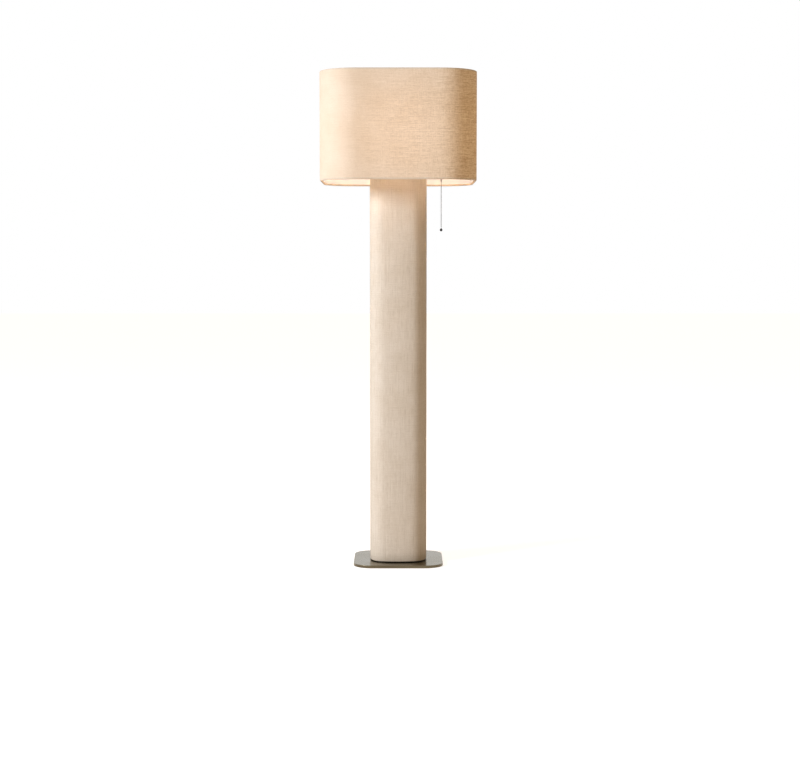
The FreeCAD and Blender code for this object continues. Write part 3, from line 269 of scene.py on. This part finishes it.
def flat_board(tree, place):
    """The plies of a board that lies flat, seen on its upright edges."""
    upright = add(tree, "SeparateXYZ", tree.nodes.new("ShaderNodeNewGeometry").outputs["Normal"]).node
    edge = between(tree, maths(tree, "ABSOLUTE", upright.outputs["Z"]), 0.8, 0.5)
    return add(tree, "SeparateXYZ", place).node.outputs["Z"], edge


board_birch = plywood("board_birch", flat_board, (22.0, 900.0, 60.0), (5.0, 60.0, 5.0))
dress(board_birch, "foot_board", "top_board")
turned_brass = marked("turned_brass", (0.42, 0.27, 0.095), (0.68, 0.48, 0.2), (0.2, 0.34),
                      (60.0, 60.0, 2600.0), 0.00003, 40.0, Metallic=1.0)
dress(turned_brass, "foot_inserts", "terminal_screws", "tube_nuts", "left_sleeve", "right_sleeve",
      "switch_rivets", "switch_bushing", "ring_nut", "switch_bell")

# ---- Column core --------------------------------------------------------------------------------------
# A 6 mm tube of plywood bent round the four corners, its grain upright; the plies show on its ends.
core_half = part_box("column_core")[1][0]
core_corner = 0.059


def bent_tube(tree, place):
    """The plies of the bent tube: the distance from its outside, seen on its two ends."""
    split = add(tree, "SeparateXYZ", place).node
    wide = [maths(tree, "ABSOLUTE", split.outputs[axis]) for axis in ("X", "Y")]
    past = [maths(tree, "MAXIMUM", maths(tree, "SUBTRACT", w, core_half - core_corner), 0.0) for w in wide]
    squares = [maths(tree, "POWER", p, 2.0) for p in past]
    out = maths(tree, "SQRT", maths(tree, "ADD", *squares))
    upright = add(tree, "SeparateXYZ", tree.nodes.new("ShaderNodeNewGeometry").outputs["Normal"]).node
    edge = between(tree, maths(tree, "ABSOLUTE", upright.outputs["Z"]), 0.5, 0.8)
    return out, edge


bent_birch = plywood("bent_birch", bent_tube, (500.0, 500.0, 14.0), (40.0, 40.0, 3.0))
dress(bent_birch, "column_core")

# ---- Wadding ------------------------------------------------------------------------------------------
# A thin bonded polyester wadding glued round the core. It fills the flat sides a little and is pressed
# thin at the corners, which gives the cover its soft crowned faces.
column_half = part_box("column_linen")[1][0]
column_corner = 0.064
crown = 0.0024                       # rise of each face from corner to middle
flat_half = column_half - column_corner
face_radius = (flat_half ** 2 + crown ** 2) / (2 * crown)
corner_radius = face_radius - math.hypot(flat_half, flat_half - column_half + face_radius)


def start_loop(name, half, corner, bottom, corner_steps, side_steps):
    """A rounded square drawn as one closed edge loop: a plane with its corners bevelled and its face taken
    away. It stays in edit mode with the loop selected."""
    bpy.ops.object.select_all(action="DESELECT")
    bpy.ops.mesh.primitive_plane_add(size=2 * half, location=(0.0, 0.0, bottom))
    made = bpy.context.object
    made.name = name
    bpy.ops.object.transform_apply(location=True, rotation=True, scale=True)
    bpy.ops.object.mode_set(mode="EDIT")
    bpy.ops.mesh.select_all(action="SELECT")
    bpy.ops.mesh.bevel(offset=corner, offset_type="OFFSET", segments=corner_steps, affect="VERTICES")
    bpy.ops.mesh.select_all(action="SELECT")
    bpy.ops.mesh.delete(type="ONLY_FACE")
    mesh = bmesh.from_edit_mesh(made.data)
    straight = 2 * (half - corner)
    for edge in mesh.edges:
        edge.select_set(edge.calc_length() > 0.6 * straight)     # the four sides, and no edge of a corner
    bpy.ops.mesh.subdivide(number_cuts=side_steps - 1)
    bpy.ops.mesh.select_all(action="SELECT")
    return made


def crowned(x, y, out=0.0):
    """A point of the plain rounded square, moved onto the padded outline, out metres outside it."""
    flips = math.copysign(1.0, x), math.copysign(1.0, y)
    x, y = abs(x), abs(y)
    centre = column_half - face_radius
    turn_in = math.asin(flat_half / (face_radius - corner_radius))
    if x > flat_half and y > flat_half:
        angle = math.atan2(y - flat_half, x - flat_half)
        angle = turn_in + angle * (math.pi / 2 - 2 * turn_in) / (math.pi / 2)
        x = flat_half + (corner_radius + out) * math.cos(angle)
        y = flat_half + (corner_radius + out) * math.sin(angle)
    else:
        along = min(x, y) / flat_half * turn_in
        reach = centre + (face_radius + out) * math.cos(along)
        side = (face_radius + out) * math.sin(along)
        x, y = (side, reach) if x < y else (reach, side)
    return flips[0] * x, flips[1] * y


corner_steps, side_steps = 14, 12
pad_low, pad_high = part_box("column_padding")
core_gap, cover_gap = 0.00005, 0.0014
wadding = start_loop("column_wadding", column_half, column_corner, pad_low[2], corner_steps, side_steps)
bpy.ops.mesh.duplicate()
mesh = bmesh.from_edit_mesh(wadding.data)
for vert in mesh.verts:
    if vert.select:
        shrink = (core_half + core_gap - flat_half) / (column_half - flat_half)
        for axis in (0, 1):
            over = abs(vert.co[axis]) - flat_half
            if over > 0:
                vert.co[axis] = math.copysign(flat_half + over * shrink, vert.co[axis])
    else:
        vert.co.x, vert.co.y = crowned(vert.co.x, vert.co.y, -cover_gap)
bpy.ops.mesh.select_all(action="SELECT")
bpy.ops.mesh.bridge_edge_loops()
bpy.ops.mesh.select_all(action="SELECT")
bpy.ops.mesh.extrude_region_move(TRANSFORM_OT_translate={"value": (0.0, 0.0, pad_high[2] - pad_low[2])})
bpy.ops.mesh.select_all(action="SELECT")
bpy.ops.mesh.normals_make_consistent(inside=False)
bpy.ops.object.mode_set(mode="OBJECT")
wool, tree, shader = new_finish("polyester_wadding", Sheen_Weight=0.4, Sheen_Roughness=0.6,
                                Specular_IOR_Level=0.1)
place = tree.nodes.new("ShaderNodeTexCoord").outputs["Object"]
lumps = noise(tree, place, (90.0, 90.0, 60.0), 3.0)
fibres = noise(tree, place, (900.0, 900.0, 240.0), 5.0, 0.75)
wool_dark, wool_light = (0.62, 0.61, 0.57), (0.84, 0.83, 0.8)
wool_colour = mixed(tree, between(tree, fibres, 0.3, 0.7), wool_dark, wool_light)
tree.links.new(wool_colour, shader.inputs["Base Color"])
tree.links.new(between(tree, lumps, 0.3, 0.7, 0.85, 0.98), shader.inputs["Roughness"])
dented(tree, shader, maths(tree, "ADD", lumps, fibres), 0.0006)
wadding.data.materials.append(wool)
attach(wadding, "lamp")
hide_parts("column_padding")

# ---- Column cover -------------------------------------------------------------------------------------
# Oatmeal linen with slubs, sewn to a tube with a felled seam down the back, pulled over the wadding and
# turned in over the boards at both ends.
cloth_thickness = 0.001
column_low, column_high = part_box("column_linen")
end_round, end_turn = 0.004, 0.022
seam_half, seam_proud = 0.0034, 0.0006
groove_half, groove_depth = 0.0005, 0.0002      # where the two edges of the cloth meet
seam_cuts = (0.0004, 0.0012, seam_half, 0.0046)
cut_slack, end_clear = 0.0002, 0.001
end_steps = 5
smooth_below = math.radians(35.0)    # a turn between two faces that still looks smooth
yarn_pitch = 0.00095
oatmeal_dark, oatmeal_light = (0.69, 0.595, 0.485), (0.735, 0.645, 0.54)
back_from = 0.09                     # any point of the back lies further out than this
row_height = 0.022


def keep_outward(made, outline):
    """Stores with each point of the loop which way is out and how far round it lies, and moves the loop
    onto outline(x, y, out)."""
    nearby = 0.001
    mesh = bmesh.from_edit_mesh(made.data)
    outward = mesh.verts.layers.float_vector.new("outward")
    around = mesh.verts.layers.float.new("around")
    along = mesh.verts.layers.float.new("along")
    points = sorted(mesh.verts, key=lambda v: math.atan2(v.co.x, -v.co.y))
    total, last = 0.0, points[0]
    for vert in points:
        start, end = (Vector((*outline(vert.co.x, vert.co.y, out), 0.0)) for out in (0.0, nearby))
        vert[outward] = (end - start).normalized()
    for vert in points:
        vert.co.x, vert.co.y = outline(vert.co.x, vert.co.y, 0.0)
        total += (vert.co - last.co).length
        vert[around], vert[along] = total, 0.0
        last = vert
    made["round"] = total + (points[0].co - last.co).length
    bmesh.update_edit_mesh(made.data)


def draw_on(made, steps):
    """Extrudes the selected loop through steps, each so far outward and so far up from the loop before."""
    for out, up in steps:
        bpy.ops.mesh.extrude_region_move(TRANSFORM_OT_translate={"value": (0.0, 0.0, up)})
        mesh = bmesh.from_edit_mesh(made.data)
        outward, along = mesh.verts.layers.float_vector["outward"], mesh.verts.layers.float["along"]
        for vert in mesh.verts:
            if vert.select:
                vert.co += vert[outward] * out
                vert[along] += math.hypot(out, up)
        bmesh.update_edit_mesh(made.data)


def arc(radius, start, end, steps):
    """The steps of an arc, in degrees from straight outward, with straight up at 90."""
    angles = [math.radians(start + (end - start) * i / steps) for i in range(steps + 1)]
    return [(radius * (math.cos(b) - math.cos(a)), radius * (math.sin(b) - math.sin(a)))
            for a, b in zip(angles, angles[1:])]


def lay_weave(made):
    """The cloth's own map, in metres along the weft and the warp, that the weave follows."""
    bpy.ops.object.mode_set(mode="EDIT")
    mesh = bmesh.from_edit_mesh(made.data)
    around, along = mesh.verts.layers.float["around"], mesh.verts.layers.float["along"]
    weave = mesh.loops.layers.uv.new("weave")
    length = made["round"]
    for face in mesh.faces:
        highest = max(loop.vert[around] for loop in face.loops)
        for loop in face.loops:
            value = loop.vert[around]
            if highest - value > length / 2:
                value += length
            loop[weave].uv = (value, loop.vert[along])
    bmesh.update_edit_mesh(made.data)
    bpy.ops.object.mode_set(mode="OBJECT")


def thicken(made, thickness):
    """Gives a sheet its thickness on the inner side."""
    solid = made.modifiers.new("thickness", "SOLIDIFY")
    solid.thickness, solid.offset, solid.use_even_offset = thickness, -1.0, True
    bpy.ops.object.modifier_apply(modifier=solid.name)


cover = start_loop("column_cover", column_half, column_corner, column_low[2], corner_steps, side_steps)
keep_outward(cover, crowned)
mesh = bmesh.from_edit_mesh(cover.data)
outward = mesh.verts.layers.float_vector["outward"]
for vert in mesh.verts:
    vert.co -= vert[outward] * (end_round + end_turn)
rows = round((column_high[2] - column_low[2] - 2 * end_round) / row_height)
rise = (column_high[2] - column_low[2] - 2 * end_round) / rows
draw_on(cover, [(end_turn, 0.0)] + arc(end_round, -90, 0, end_steps) + [(0.0, rise)] * rows
        + arc(end_round, 0, 90, end_steps) + [(-end_turn, 0.0)])
bpy.ops.mesh.select_all(action="SELECT")
bpy.ops.mesh.normals_make_consistent(inside=False)
for across in (*(-cut for cut in reversed(seam_cuts)), *seam_cuts):
    bpy.ops.mesh.select_all(action="SELECT")
    bpy.ops.mesh.bisect(plane_co=(across, 0.0, 0.0), plane_no=(1.0, 0.0, 0.0))
bpy.ops.object.mode_set(mode="OBJECT")
lay_weave(cover)
folds = bpy.data.textures.new("cover_ease", "CLOUDS")
folds.noise_scale, folds.noise_depth = 0.16, 1
ease = cover.modifiers.new("ease", "DISPLACE")
ease.texture, ease.strength, ease.mid_level, ease.texture_coords = folds, 0.0011, 0.5, "LOCAL"
bpy.ops.object.modifier_apply(modifier=ease.name)
for vert in cover.data.vertices:
    if vert.co.y > back_from and column_low[2] + end_clear < vert.co.z < column_high[2] - end_clear:
        across = abs(vert.co.x)
        if across < groove_half:
            vert.co.y -= groove_depth
        elif across < seam_half + cut_slack:
            vert.co.y += seam_proud
thicken(cover, cloth_thickness)
bpy.ops.object.shade_smooth_by_angle(angle=smooth_below)


thick_tone, thin_tone = (0.40, 0.30, 0.19), (0.95, 0.88, 0.78)
# The second and third tones are painted shade: between the yarns, and towards the column's foot.
heather_tone, weave_hollow_shade, foot_shade_tone = (0.42, 0.31, 0.2), (0.36, 0.26, 0.16), (0.33, 0.25, 0.17)
# Painted shade, browner, towards the right side of the shade cloth.
right_shade_tone = (0.72, 0.52, 0.30)
dense_tint, open_tint = (1.0, 0.97, 0.88), (1.0, 1.03, 1.12)
hem_shut, hem_open = 0.003, 0.008    # from a hem, where the glow is held back and where it is whole
plain_yarn, thickest, thinnest = 1.0, 1.28, 0.74     # of the sum of two noises


def yarn_ridges(tree, split, wander, thread, axis):
    """The yarns that follow each other along one axis of the cloth's map, thread metres apart, as rounded
    ridges that go over and under the ones that cross them."""
    other, way = ("Y", "ADD") if axis == "X" else ("X", "SUBTRACT")
    count = maths(tree, way, maths(tree, "MULTIPLY", split.outputs[axis], math.pi / thread), wander)
    ridge = maths(tree, "ABSOLUTE", maths(tree, "SINE", count))
    steps = maths(tree, "FLOOR", maths(tree, "MULTIPLY", split.outputs[axis], 1.0 / thread))
    phase = maths(tree, "ADD", maths(tree, "MULTIPLY", split.outputs[other], math.pi / thread),
                  maths(tree, "MULTIPLY", steps, math.pi))
    if axis == "Y":
        phase = maths(tree, "ADD", phase, math.pi / 2)
    over = maths(tree, "ADD", maths(tree, "MULTIPLY", maths(tree, "COSINE", phase), 0.35), 0.65)
    return maths(tree, "MULTIPLY", ridge, over)


def slubbed(tree, place, axis, across, along, strength):
    """How thick, and how thin, those yarns are: slubs of two sizes, so many to a metre across and along."""
    sizes = (across, along), (across * 1.2, along * 5.0)
    spreads = [(*size, 1.0) if axis == "X" else (*size[::-1], 1.0) for size in sizes]
    slubs = maths(tree, "ADD", *(noise(tree, place, spread, 3.0, 0.6) for spread in spreads))
    return [between(tree, slubs, plain_yarn, end, 0.0, strength) for end in (thickest, thinnest)]


def linen(name, thread, length, colours, warp_slubs, weft_slubs, shares, glow=None):
    """Plain-weave linen, thread metres from yarn to yarn and length metres round, in two clouded colours,
    with thick yarns darker and thin ones paler by the first two shares, and by the third one more towards
    the right side, as painted shade. Slubs are given as how many follow each other across and along them in
    a metre, and how strong they are. glow is the lamp's light coming through, painted on as emission, as
    its colours at thick and thin yarns, the bulb's place, how near it the cloth comes, and the heights of
    the two hems, which hold it back. Linen with a glow is also painted browner towards its right side as
    shade, warmer in its own colour at thick yarns and cooler at thin ones. Without a glow, the linen is
    painted darker towards its foot, as shade, and it is always painted darker between the yarns."""
    made, tree, shader = new_finish(name, Sheen_Weight=0.08, Sheen_Roughness=0.5, Specular_IOR_Level=0.2)
    shader.inputs["Sheen Tint"].default_value = (1.0, 0.97, 0.92, 1.0)
    place = add(tree, "UVMap", uv_map="weave")
    wander = noise(tree, place, (45.0, 45.0, 1.0), 2.0)
    split = add(tree, "SeparateXYZ", place).node
    weave = maths(tree, "MAXIMUM", *(yarn_ridges(tree, split, wander, thread, axis) for axis in "XY"))
    warp, weft = slubbed(tree, place, "X", *warp_slubs), slubbed(tree, place, "Y", *weft_slubs)
    thick, thin = (maths(tree, "MAXIMUM", *both) for both in zip(warp, weft))
    heather = noise(tree, place, (420.0, 420.0, 1.0), 4.0, 0.7)
    cloud = noise(tree, place, (9.0, 9.0, 1.0), 3.0, 0.55)
    colour = mixed(tree, between(tree, cloud, 0.3, 0.7), *colours)
    colour = mixed(tree, between(tree, heather, 0.35, 0.65, 0.10, 0.0), colour, heather_tone)
    # From 1 in the middle of the left side to -1 in the middle of the right, the shaded side, where shade
    # is painted in.
    side = maths(tree, "SINE", maths(tree, "MULTIPLY", split.outputs["X"], 2 * math.pi / length))
    # Painted shade: towards the right side the thick and thin yarns show more strongly, by the third share.
    for amount, share, tone in ((thick, shares[0], thick_tone), (thin, shares[1], thin_tone)):
        toward_right_shade = between(tree, side, -0.2, -0.8, share, share + shares[2])
        colour = mixed(tree, maths(tree, "MULTIPLY", amount, toward_right_shade), colour, tone)
    # Painted shade: darker between the yarns, in the weave's hollows.
    colour = mixed(tree, between(tree, weave, 0.15, 0.6, 0.22, 0.0), colour, weave_hollow_shade)
    tree.links.new(between(tree, heather, 0.3, 0.7, 0.82, 0.95), shader.inputs["Roughness"])
    dented(tree, shader, maths(tree, "ADD", weave, maths(tree, "MULTIPLY", thick, 0.9)), 0.00028)
    spot = tree.nodes.new("ShaderNodeTexCoord").outputs["Object"]
    level = add(tree, "SeparateXYZ", spot).node.outputs["Z"]
    if glow:
        thick_glow, thin_glow, bulb, nearest, hems = glow
        away = add(tree, "VectorMath", spot, bulb, operation="DISTANCE").node.outputs["Value"]
        near = maths(tree, "POWER", maths(tree, "DIVIDE", nearest, away), 3.0)
        near = between(tree, near, 0.25, 1.05, 0.5, 1.0)
        for hem, inside in ((hems[0], 1), (hems[1], -1)):
            whole = between(tree, level, hem + hem_shut * inside, hem + hem_open * inside, 0.2, 1.0)
            near = maths(tree, "MULTIPLY", near, whole)
        speck = maths(tree, "SUBTRACT", noise(tree, place, (190.0, 240.0, 1.0), 3.0, 0.6), 0.5)
        # Painted shade: the glow's yarn contrast grows towards the shaded right side.
        right_shade_contrast = maths(tree, "ADD", maths(tree, "MULTIPLY", side, -1.0), 0.9)
        open_weave = maths(tree, "ADD", maths(tree, "SUBTRACT", thin, thick),
                           maths(tree, "MULTIPLY", speck, 1.7))
        open_weave = between(tree, maths(tree, "MULTIPLY", open_weave, right_shade_contrast), -1.1, 1.1)
        tree.links.new(mixed(tree, open_weave, thick_glow, thin_glow), shader.inputs["Emission Color"])
        tree.links.new(near, shader.inputs["Emission Strength"])
        # Painted shade: browner towards the middle of the right side.
        colour = mixed(tree, between(tree, side, -0.1, -0.7, 0.0, 0.375), colour, right_shade_tone)
        colour = mixed(tree, 1.0, colour, mixed(tree, open_weave, dense_tint, open_tint), "MULTIPLY")
    else:
        # Painted shade: the cover is darker towards its foot, above the base plate.
        colour = mixed(tree, between(tree, level, 0.052, 0.02, 0.0, 0.3), colour, foot_shade_tone)
    tree.links.new(colour, shader.inputs["Base Color"])
    return made


cover_linen = linen("oatmeal_linen", yarn_pitch, cover["round"], (oatmeal_dark, oatmeal_light),
                    warp_slubs=(300.0, 5.0, 1.0), weft_slubs=(330.0, 13.0, 0.75), shares=(0.25, 0.2, 0.0))
cover.data.materials.append(cover_linen)
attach(cover, "lamp")
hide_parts("column_linen")

# Two rows of topstitching hold the seam flat. One stitch is modelled, and copied to points that rays from
# behind find on the cover.
stitch_pitch, stitch_length, stitch_radius, stitch_from_middle = 0.0036, 0.0027, 0.00026, 0.0023
stitch_end, behind = 0.012, 0.2
bpy.ops.object.select_all(action="DESELECT")
bpy.ops.mesh.primitive_uv_sphere_add(segments=6, ring_count=5, radius=1.0, location=(0.0, 0.0, 0.0))
stitch = bpy.context.object
stitch.scale = (stitch_radius, stitch_radius * 1.2, stitch_length / 2)
bpy.ops.object.transform_apply(location=True, rotation=True, scale=True)
one = [vert.co.copy() for vert in stitch.data.vertices]
faces = [tuple(face.vertices) for face in stitch.data.polygons]
bpy.data.objects.remove(stitch)
places = []
for side in (-1, 1):
    height = column_low[2] + stitch_end
    while height < column_high[2] - stitch_end:
        start = Vector((side * stitch_from_middle, behind, height))
        places.append(cover.ray_cast(start, Vector((0.0, -1.0, 0.0)))[1])
        height += stitch_pitch
sewn = bpy.data.meshes.new("seam_stitches")
starts = range(0, len(one) * len(places), len(one))
sewn.from_pydata([spot + point for spot in places for point in one], [],
                 [tuple(start + corner for corner in face) for start in starts for face in faces])
stitches = bpy.data.objects.new("seam_stitches", sewn)
bpy.context.collection.objects.link(stitches)
sewn.shade_smooth()
sewing_thread = marked("sewing_thread", (0.52, 0.42, 0.3), (0.74, 0.64, 0.5), (0.6, 0.8),
                       (2500.0, 2500.0, 5000.0), 0.00006, 60.0, Sheen_Weight=0.2)
sewn.materials.append(sewing_thread)
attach(stitches, "lamp")

# ---- Column cap ---------------------------------------------------------------------------------------
# A white powder-coated sheet closes the top of the column over the turned-in linen; the same coat is on
# the wire parts of the shade.
white_coat = marked("white_powder_coat", (0.72, 0.71, 0.68), (0.80, 0.79, 0.76), (0.38, 0.52),
                    (1300.0, 1300.0, 1300.0), 0.00004, Specular_IOR_Level=0.45)
dress(white_coat, "column_cap", "shade_rings", "shade_spider")

# ---- Cord outlet --------------------------------------------------------------------------------------
# A moulded black grommet low at the back, with its nut inside the core.
black_phenolic = marked("black_phenolic", (0.010, 0.009, 0.009), (0.024, 0.022, 0.021), (0.16, 0.32),
                        (500.0, 500.0, 500.0), 0.00002, 30.0, Coat_Weight=0.2, Coat_Roughness=0.15)
dress(black_phenolic, "cord_grommet", "grommet_nut", "lampholder_core", "switch_housing", "switch_cover",
      "ratchet_cam")

# ---- Wiring -------------------------------------------------------------------------------------------
# A screw terminal block on the foot board, a round flex clipped up the core's wall, and a thinner lead
# from the lampholder to the switch.
white_nylon = marked("white_nylon", (0.66, 0.66, 0.63), (0.76, 0.76, 0.73), (0.35, 0.5),
                     (700.0, 700.0, 700.0), 0.00003, 50.0, Specular_IOR_Level=0.5)
dress(white_nylon, "terminal_block", "cable_clips", "pull_wheel")
flex_sheath = marked("flex_sheath", (0.60, 0.60, 0.58), (0.72, 0.72, 0.70), (0.42, 0.58),
                     (120.0, 120.0, 120.0), 0.00008, 15.0, Specular_IOR_Level=0.45)
dress(flex_sheath, "inner_flex", "switch_lead")

# ---- Lampholder ---------------------------------------------------------------------------------------
# A satin-nickel cap and shell round a phenolic insulator, with a brass screw shell and a sprung centre
# contact. The saddle and the harp carry the same nickel.
satin_nickel = marked("satin_nickel", (0.40, 0.385, 0.36), (0.60, 0.585, 0.55), (0.24, 0.36),
                      (90.0, 90.0, 1900.0), 0.00002, 35.0, Metallic=1.0)
dress(satin_nickel, "harp_saddle", "lampholder_cap", "lampholder_shell", "harp_loop", "harp_stud")
pressed_brass = marked("pressed_brass", (0.45, 0.30, 0.11), (0.66, 0.48, 0.22), (0.24, 0.4),
                       (200.0, 200.0, 200.0), 0.00002, 60.0, Metallic=1.0)
dress(pressed_brass, "screw_shell", "centre_contact", "contact_blades")

# ---- Bulb ---------------------------------------------------------------------------------------------
# A 60 mm opal LED bulb, lit: soldered tip, black glass insulator, pressed cap, satin white collar that
# holds the driver, and a thin opal dome.
soft_metal = marked("cap_metal", (0.55, 0.55, 0.56), (0.74, 0.74, 0.75), (0.22, 0.36),
                    (80.0, 80.0, 1500.0), 0.00003, 60.0, Metallic=1.0)
dress(soft_metal, "bulb_cap", "bulb_tip")
vitrite = marked("black_vitrite", (0.008, 0.008, 0.012), (0.02, 0.02, 0.028), (0.06, 0.14),
                 (300.0, 300.0, 300.0), 0.00003, 60.0)
dress(vitrite, "bulb_insulator")
collar_white = marked("collar_white", (0.74, 0.73, 0.71), (0.82, 0.81, 0.79), (0.3, 0.42),
                      (600.0, 600.0, 600.0), 0.00002, 40.0)
dress(collar_white, "bulb_collar")
bulb_low, bulb_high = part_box("bulb_dome")
bulb_radius = (bulb_high[0] - bulb_low[0]) / 2
bulb_middle = bulb_high[2] - bulb_radius
bulb_strength = 150.0
opal, tree, shader = new_finish("lit_opal", Roughness=0.25)
place = tree.nodes.new("ShaderNodeTexCoord").outputs["Object"]
level = add(tree, "SeparateXYZ", place).node.outputs["Z"]
fill = between(tree, level, bulb_low[2], bulb_middle, 0.55, 1.0)
cast = noise(tree, place, (55.0, 55.0, 55.0), 2.0)
opal_dull, opal_clear = (0.86, 0.84, 0.8), (0.94, 0.92, 0.88)
light_low, light_full = (1.0, 0.56, 0.32), (1.0, 0.68, 0.43)
tree.links.new(mixed(tree, cast, opal_dull, opal_clear), shader.inputs["Base Color"])
tree.links.new(mixed(tree, fill, light_low, light_full), shader.inputs["Emission Color"])
shader.inputs["Emission Strength"].default_value = bulb_strength
dented(tree, shader, cast, 0.00005)
dress(opal, "bulb_dome")

# ---- Shade liner --------------------------------------------------------------------------------------
# A sheet of white styrene that the linen is laminated to; it spreads the light, and a glow is painted on it
# as emission.
styrene, tree, shader = new_finish("white_styrene", Specular_IOR_Level=0.35)
place = tree.nodes.new("ShaderNodeTexCoord").outputs["Object"]
sheet_cloud = noise(tree, place, (12.0, 12.0, 12.0), 3.0)
sheet_grain = noise(tree, place, (700.0, 700.0, 700.0), 3.0, 0.6)
styrene_dull, styrene_clear = (0.80, 0.775, 0.72), (0.86, 0.84, 0.79)
tree.links.new(mixed(tree, sheet_cloud, styrene_dull, styrene_clear), shader.inputs["Base Color"])
tree.links.new(between(tree, sheet_grain, 0.3, 0.7, 0.5, 0.62), shader.inputs["Roughness"])
# Painted glow on the liner: bluer near its lower edge, warm higher up.
hem_glow, wall_glow = (0.10, 0.13, 0.19), (0.12, 0.066, 0.026)
glow_start, glow_end = 0.03, 0.09    # above the liner's lower edge
liner_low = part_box("shade_liner")[0][2]
height = add(tree, "SeparateXYZ", place).node.outputs["Z"]
higher = between(tree, height, liner_low + glow_start, liner_low + glow_end)
tree.links.new(mixed(tree, higher, hem_glow, wall_glow), shader.inputs["Emission Color"])
shader.inputs["Emission Strength"].default_value = 1.0
dented(tree, shader, sheet_grain, 0.00003)
dress(styrene, "shade_liner")

# ---- Shade cloth --------------------------------------------------------------------------------------
# The same linen on the outside of the shade, rolled over a wire ring at top and bottom and tucked back
# inside, with its ends lapped down the middle of the back. Snips let the four spider arms through.
shade_low, shade_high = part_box("shade_linen")
shade_half, shade_corner = shade_high[0], 0.135
shade_thickness = 0.0008
hem_radius, hem_return = 0.0031, 0.003
lap_half, lap_proud = 0.006, 0.0004
snip_half = 0.0024
shade_corner_steps, shade_side_steps, hem_steps, wall_rows = 20, 6, 10, 16
shade_dark, shade_light = (0.69, 0.587, 0.471), (0.735, 0.637, 0.525)
# The lamp's light through the cloth is painted on as emission, at thick and at thin yarns.
thick_glow, thin_glow = (0.11, 0.02, 0.0), (0.30, 0.15, 0.02)


def rounded(x, y, out=0.0):
    """A point of the shade's outline, out metres outside it."""
    flips = math.copysign(1.0, x), math.copysign(1.0, y)
    straight = shade_half - shade_corner
    x, y = abs(x), abs(y)
    if x > straight and y > straight:
        away = Vector((x - straight, y - straight))
        away = away.normalized() * (away.length + out)
        x, y = straight + away.x, straight + away.y
    elif x > y:
        x += out
    else:
        y += out
    return flips[0] * x, flips[1] * y


shade = start_loop("shade_cloth", shade_half, shade_corner, shade_low[2] + hem_radius + hem_return,
                   shade_corner_steps, shade_side_steps)
keep_outward(shade, rounded)
mesh = bmesh.from_edit_mesh(shade.data)
outward = mesh.verts.layers.float_vector["outward"]
for vert in mesh.verts:
    vert.co -= vert[outward] * 2 * hem_radius
bmesh.update_edit_mesh(shade.data)
wall = shade_high[2] - shade_low[2] - 2 * hem_radius
draw_on(shade, [(0.0, -hem_return)] + arc(hem_radius, 180, 360, hem_steps)
        + [(0.0, wall / wall_rows)] * wall_rows
        + arc(hem_radius, 0, 180, hem_steps) + [(0.0, -hem_return)])
for across in (-lap_half, -snip_half, snip_half, lap_half):
    for normal in ((1.0, 0.0, 0.0), (0.0, 1.0, 0.0)):
        bpy.ops.mesh.select_all(action="SELECT")
        bpy.ops.mesh.bisect(plane_co=Vector(normal) * across, plane_no=normal)
bpy.ops.mesh.select_all(action="DESELECT")
mesh = bmesh.from_edit_mesh(shade.data)
inside = shade_half - 1.7 * hem_radius
under_hem = shade_high[2] - hem_radius - hem_return - 0.001
for face in mesh.faces:
    middle = face.calc_center_median()
    snipped = min(abs(middle.x), abs(middle.y)) < snip_half and max(abs(middle.x), abs(middle.y)) < inside
    face.select_set(snipped and middle.z > under_hem)
bpy.ops.mesh.delete(type="FACE")
bpy.ops.mesh.select_all(action="SELECT")
bpy.ops.mesh.normals_make_consistent(inside=False)
bpy.ops.object.mode_set(mode="OBJECT")
lay_weave(shade)
thicken(shade, shade_thickness)
bpy.ops.object.mode_set(mode="EDIT")
bpy.ops.mesh.select_all(action="DESELECT")
mesh = bmesh.from_edit_mesh(shade.data)
for face in mesh.faces:
    middle = face.calc_center_median()
    upright_back = middle.y > shade_half - 0.0001 and abs(face.normal.z) < 0.1
    face.select_set(upright_back and abs(middle.x) < lap_half)
bpy.ops.mesh.extrude_region_shrink_fatten(TRANSFORM_OT_shrink_fatten={"value": lap_proud})
bpy.ops.object.mode_set(mode="OBJECT")
bpy.ops.object.shade_smooth_by_angle(angle=smooth_below)
shade_linen = linen("shade_linen_cloth", yarn_pitch, shade["round"], (shade_dark, shade_light),
                    warp_slubs=(260.0, 22.0, 0.7), weft_slubs=(230.0, 12.0, 1.0), shares=(0.04, 0.03, 0.75),
                    glow=(thick_glow, thin_glow, (0.0, 0.0, bulb_middle), shade_half,
                          (shade_low[2], shade_high[2])))
shade.data.materials.append(shade_linen)
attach(shade, "shade")
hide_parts("shade_linen")

# ---- Finial -------------------------------------------------------------------------------------------
# A turned dark bronze nut on the harp's stud holds the spider down.
dark_bronze = marked("dark_bronze", (0.075, 0.055, 0.03), (0.15, 0.115, 0.068), (0.22, 0.36),
                     (70.0, 70.0, 2400.0), 0.00003, 45.0, Metallic=1.0)
dress(dark_bronze, "finial")

# ---- Pull chain ---------------------------------------------------------------------------------------
# Hollow beads on short rods in darkened nickel, from the wheel through the bell to a coupling and down to
# a solid ball, blackened by hand.
dark_nickel = marked("dark_nickel", (0.055, 0.052, 0.048), (0.12, 0.115, 0.108), (0.2, 0.34),
                     (400.0, 400.0, 400.0), 0.00002, 120.0, Metallic=1.0)
dress(dark_nickel, "anchor_beads", "head_chain", "pivot_bead", "pull_chain", "chain_coupling")
black_oxide = marked("black_oxide", (0.006, 0.006, 0.006), (0.016, 0.015, 0.015), (0.42, 0.55),
                     (500.0, 500.0, 500.0), 0.00002, 150.0, Specular_IOR_Level=0.3)
dress(black_oxide, "pull_ball")
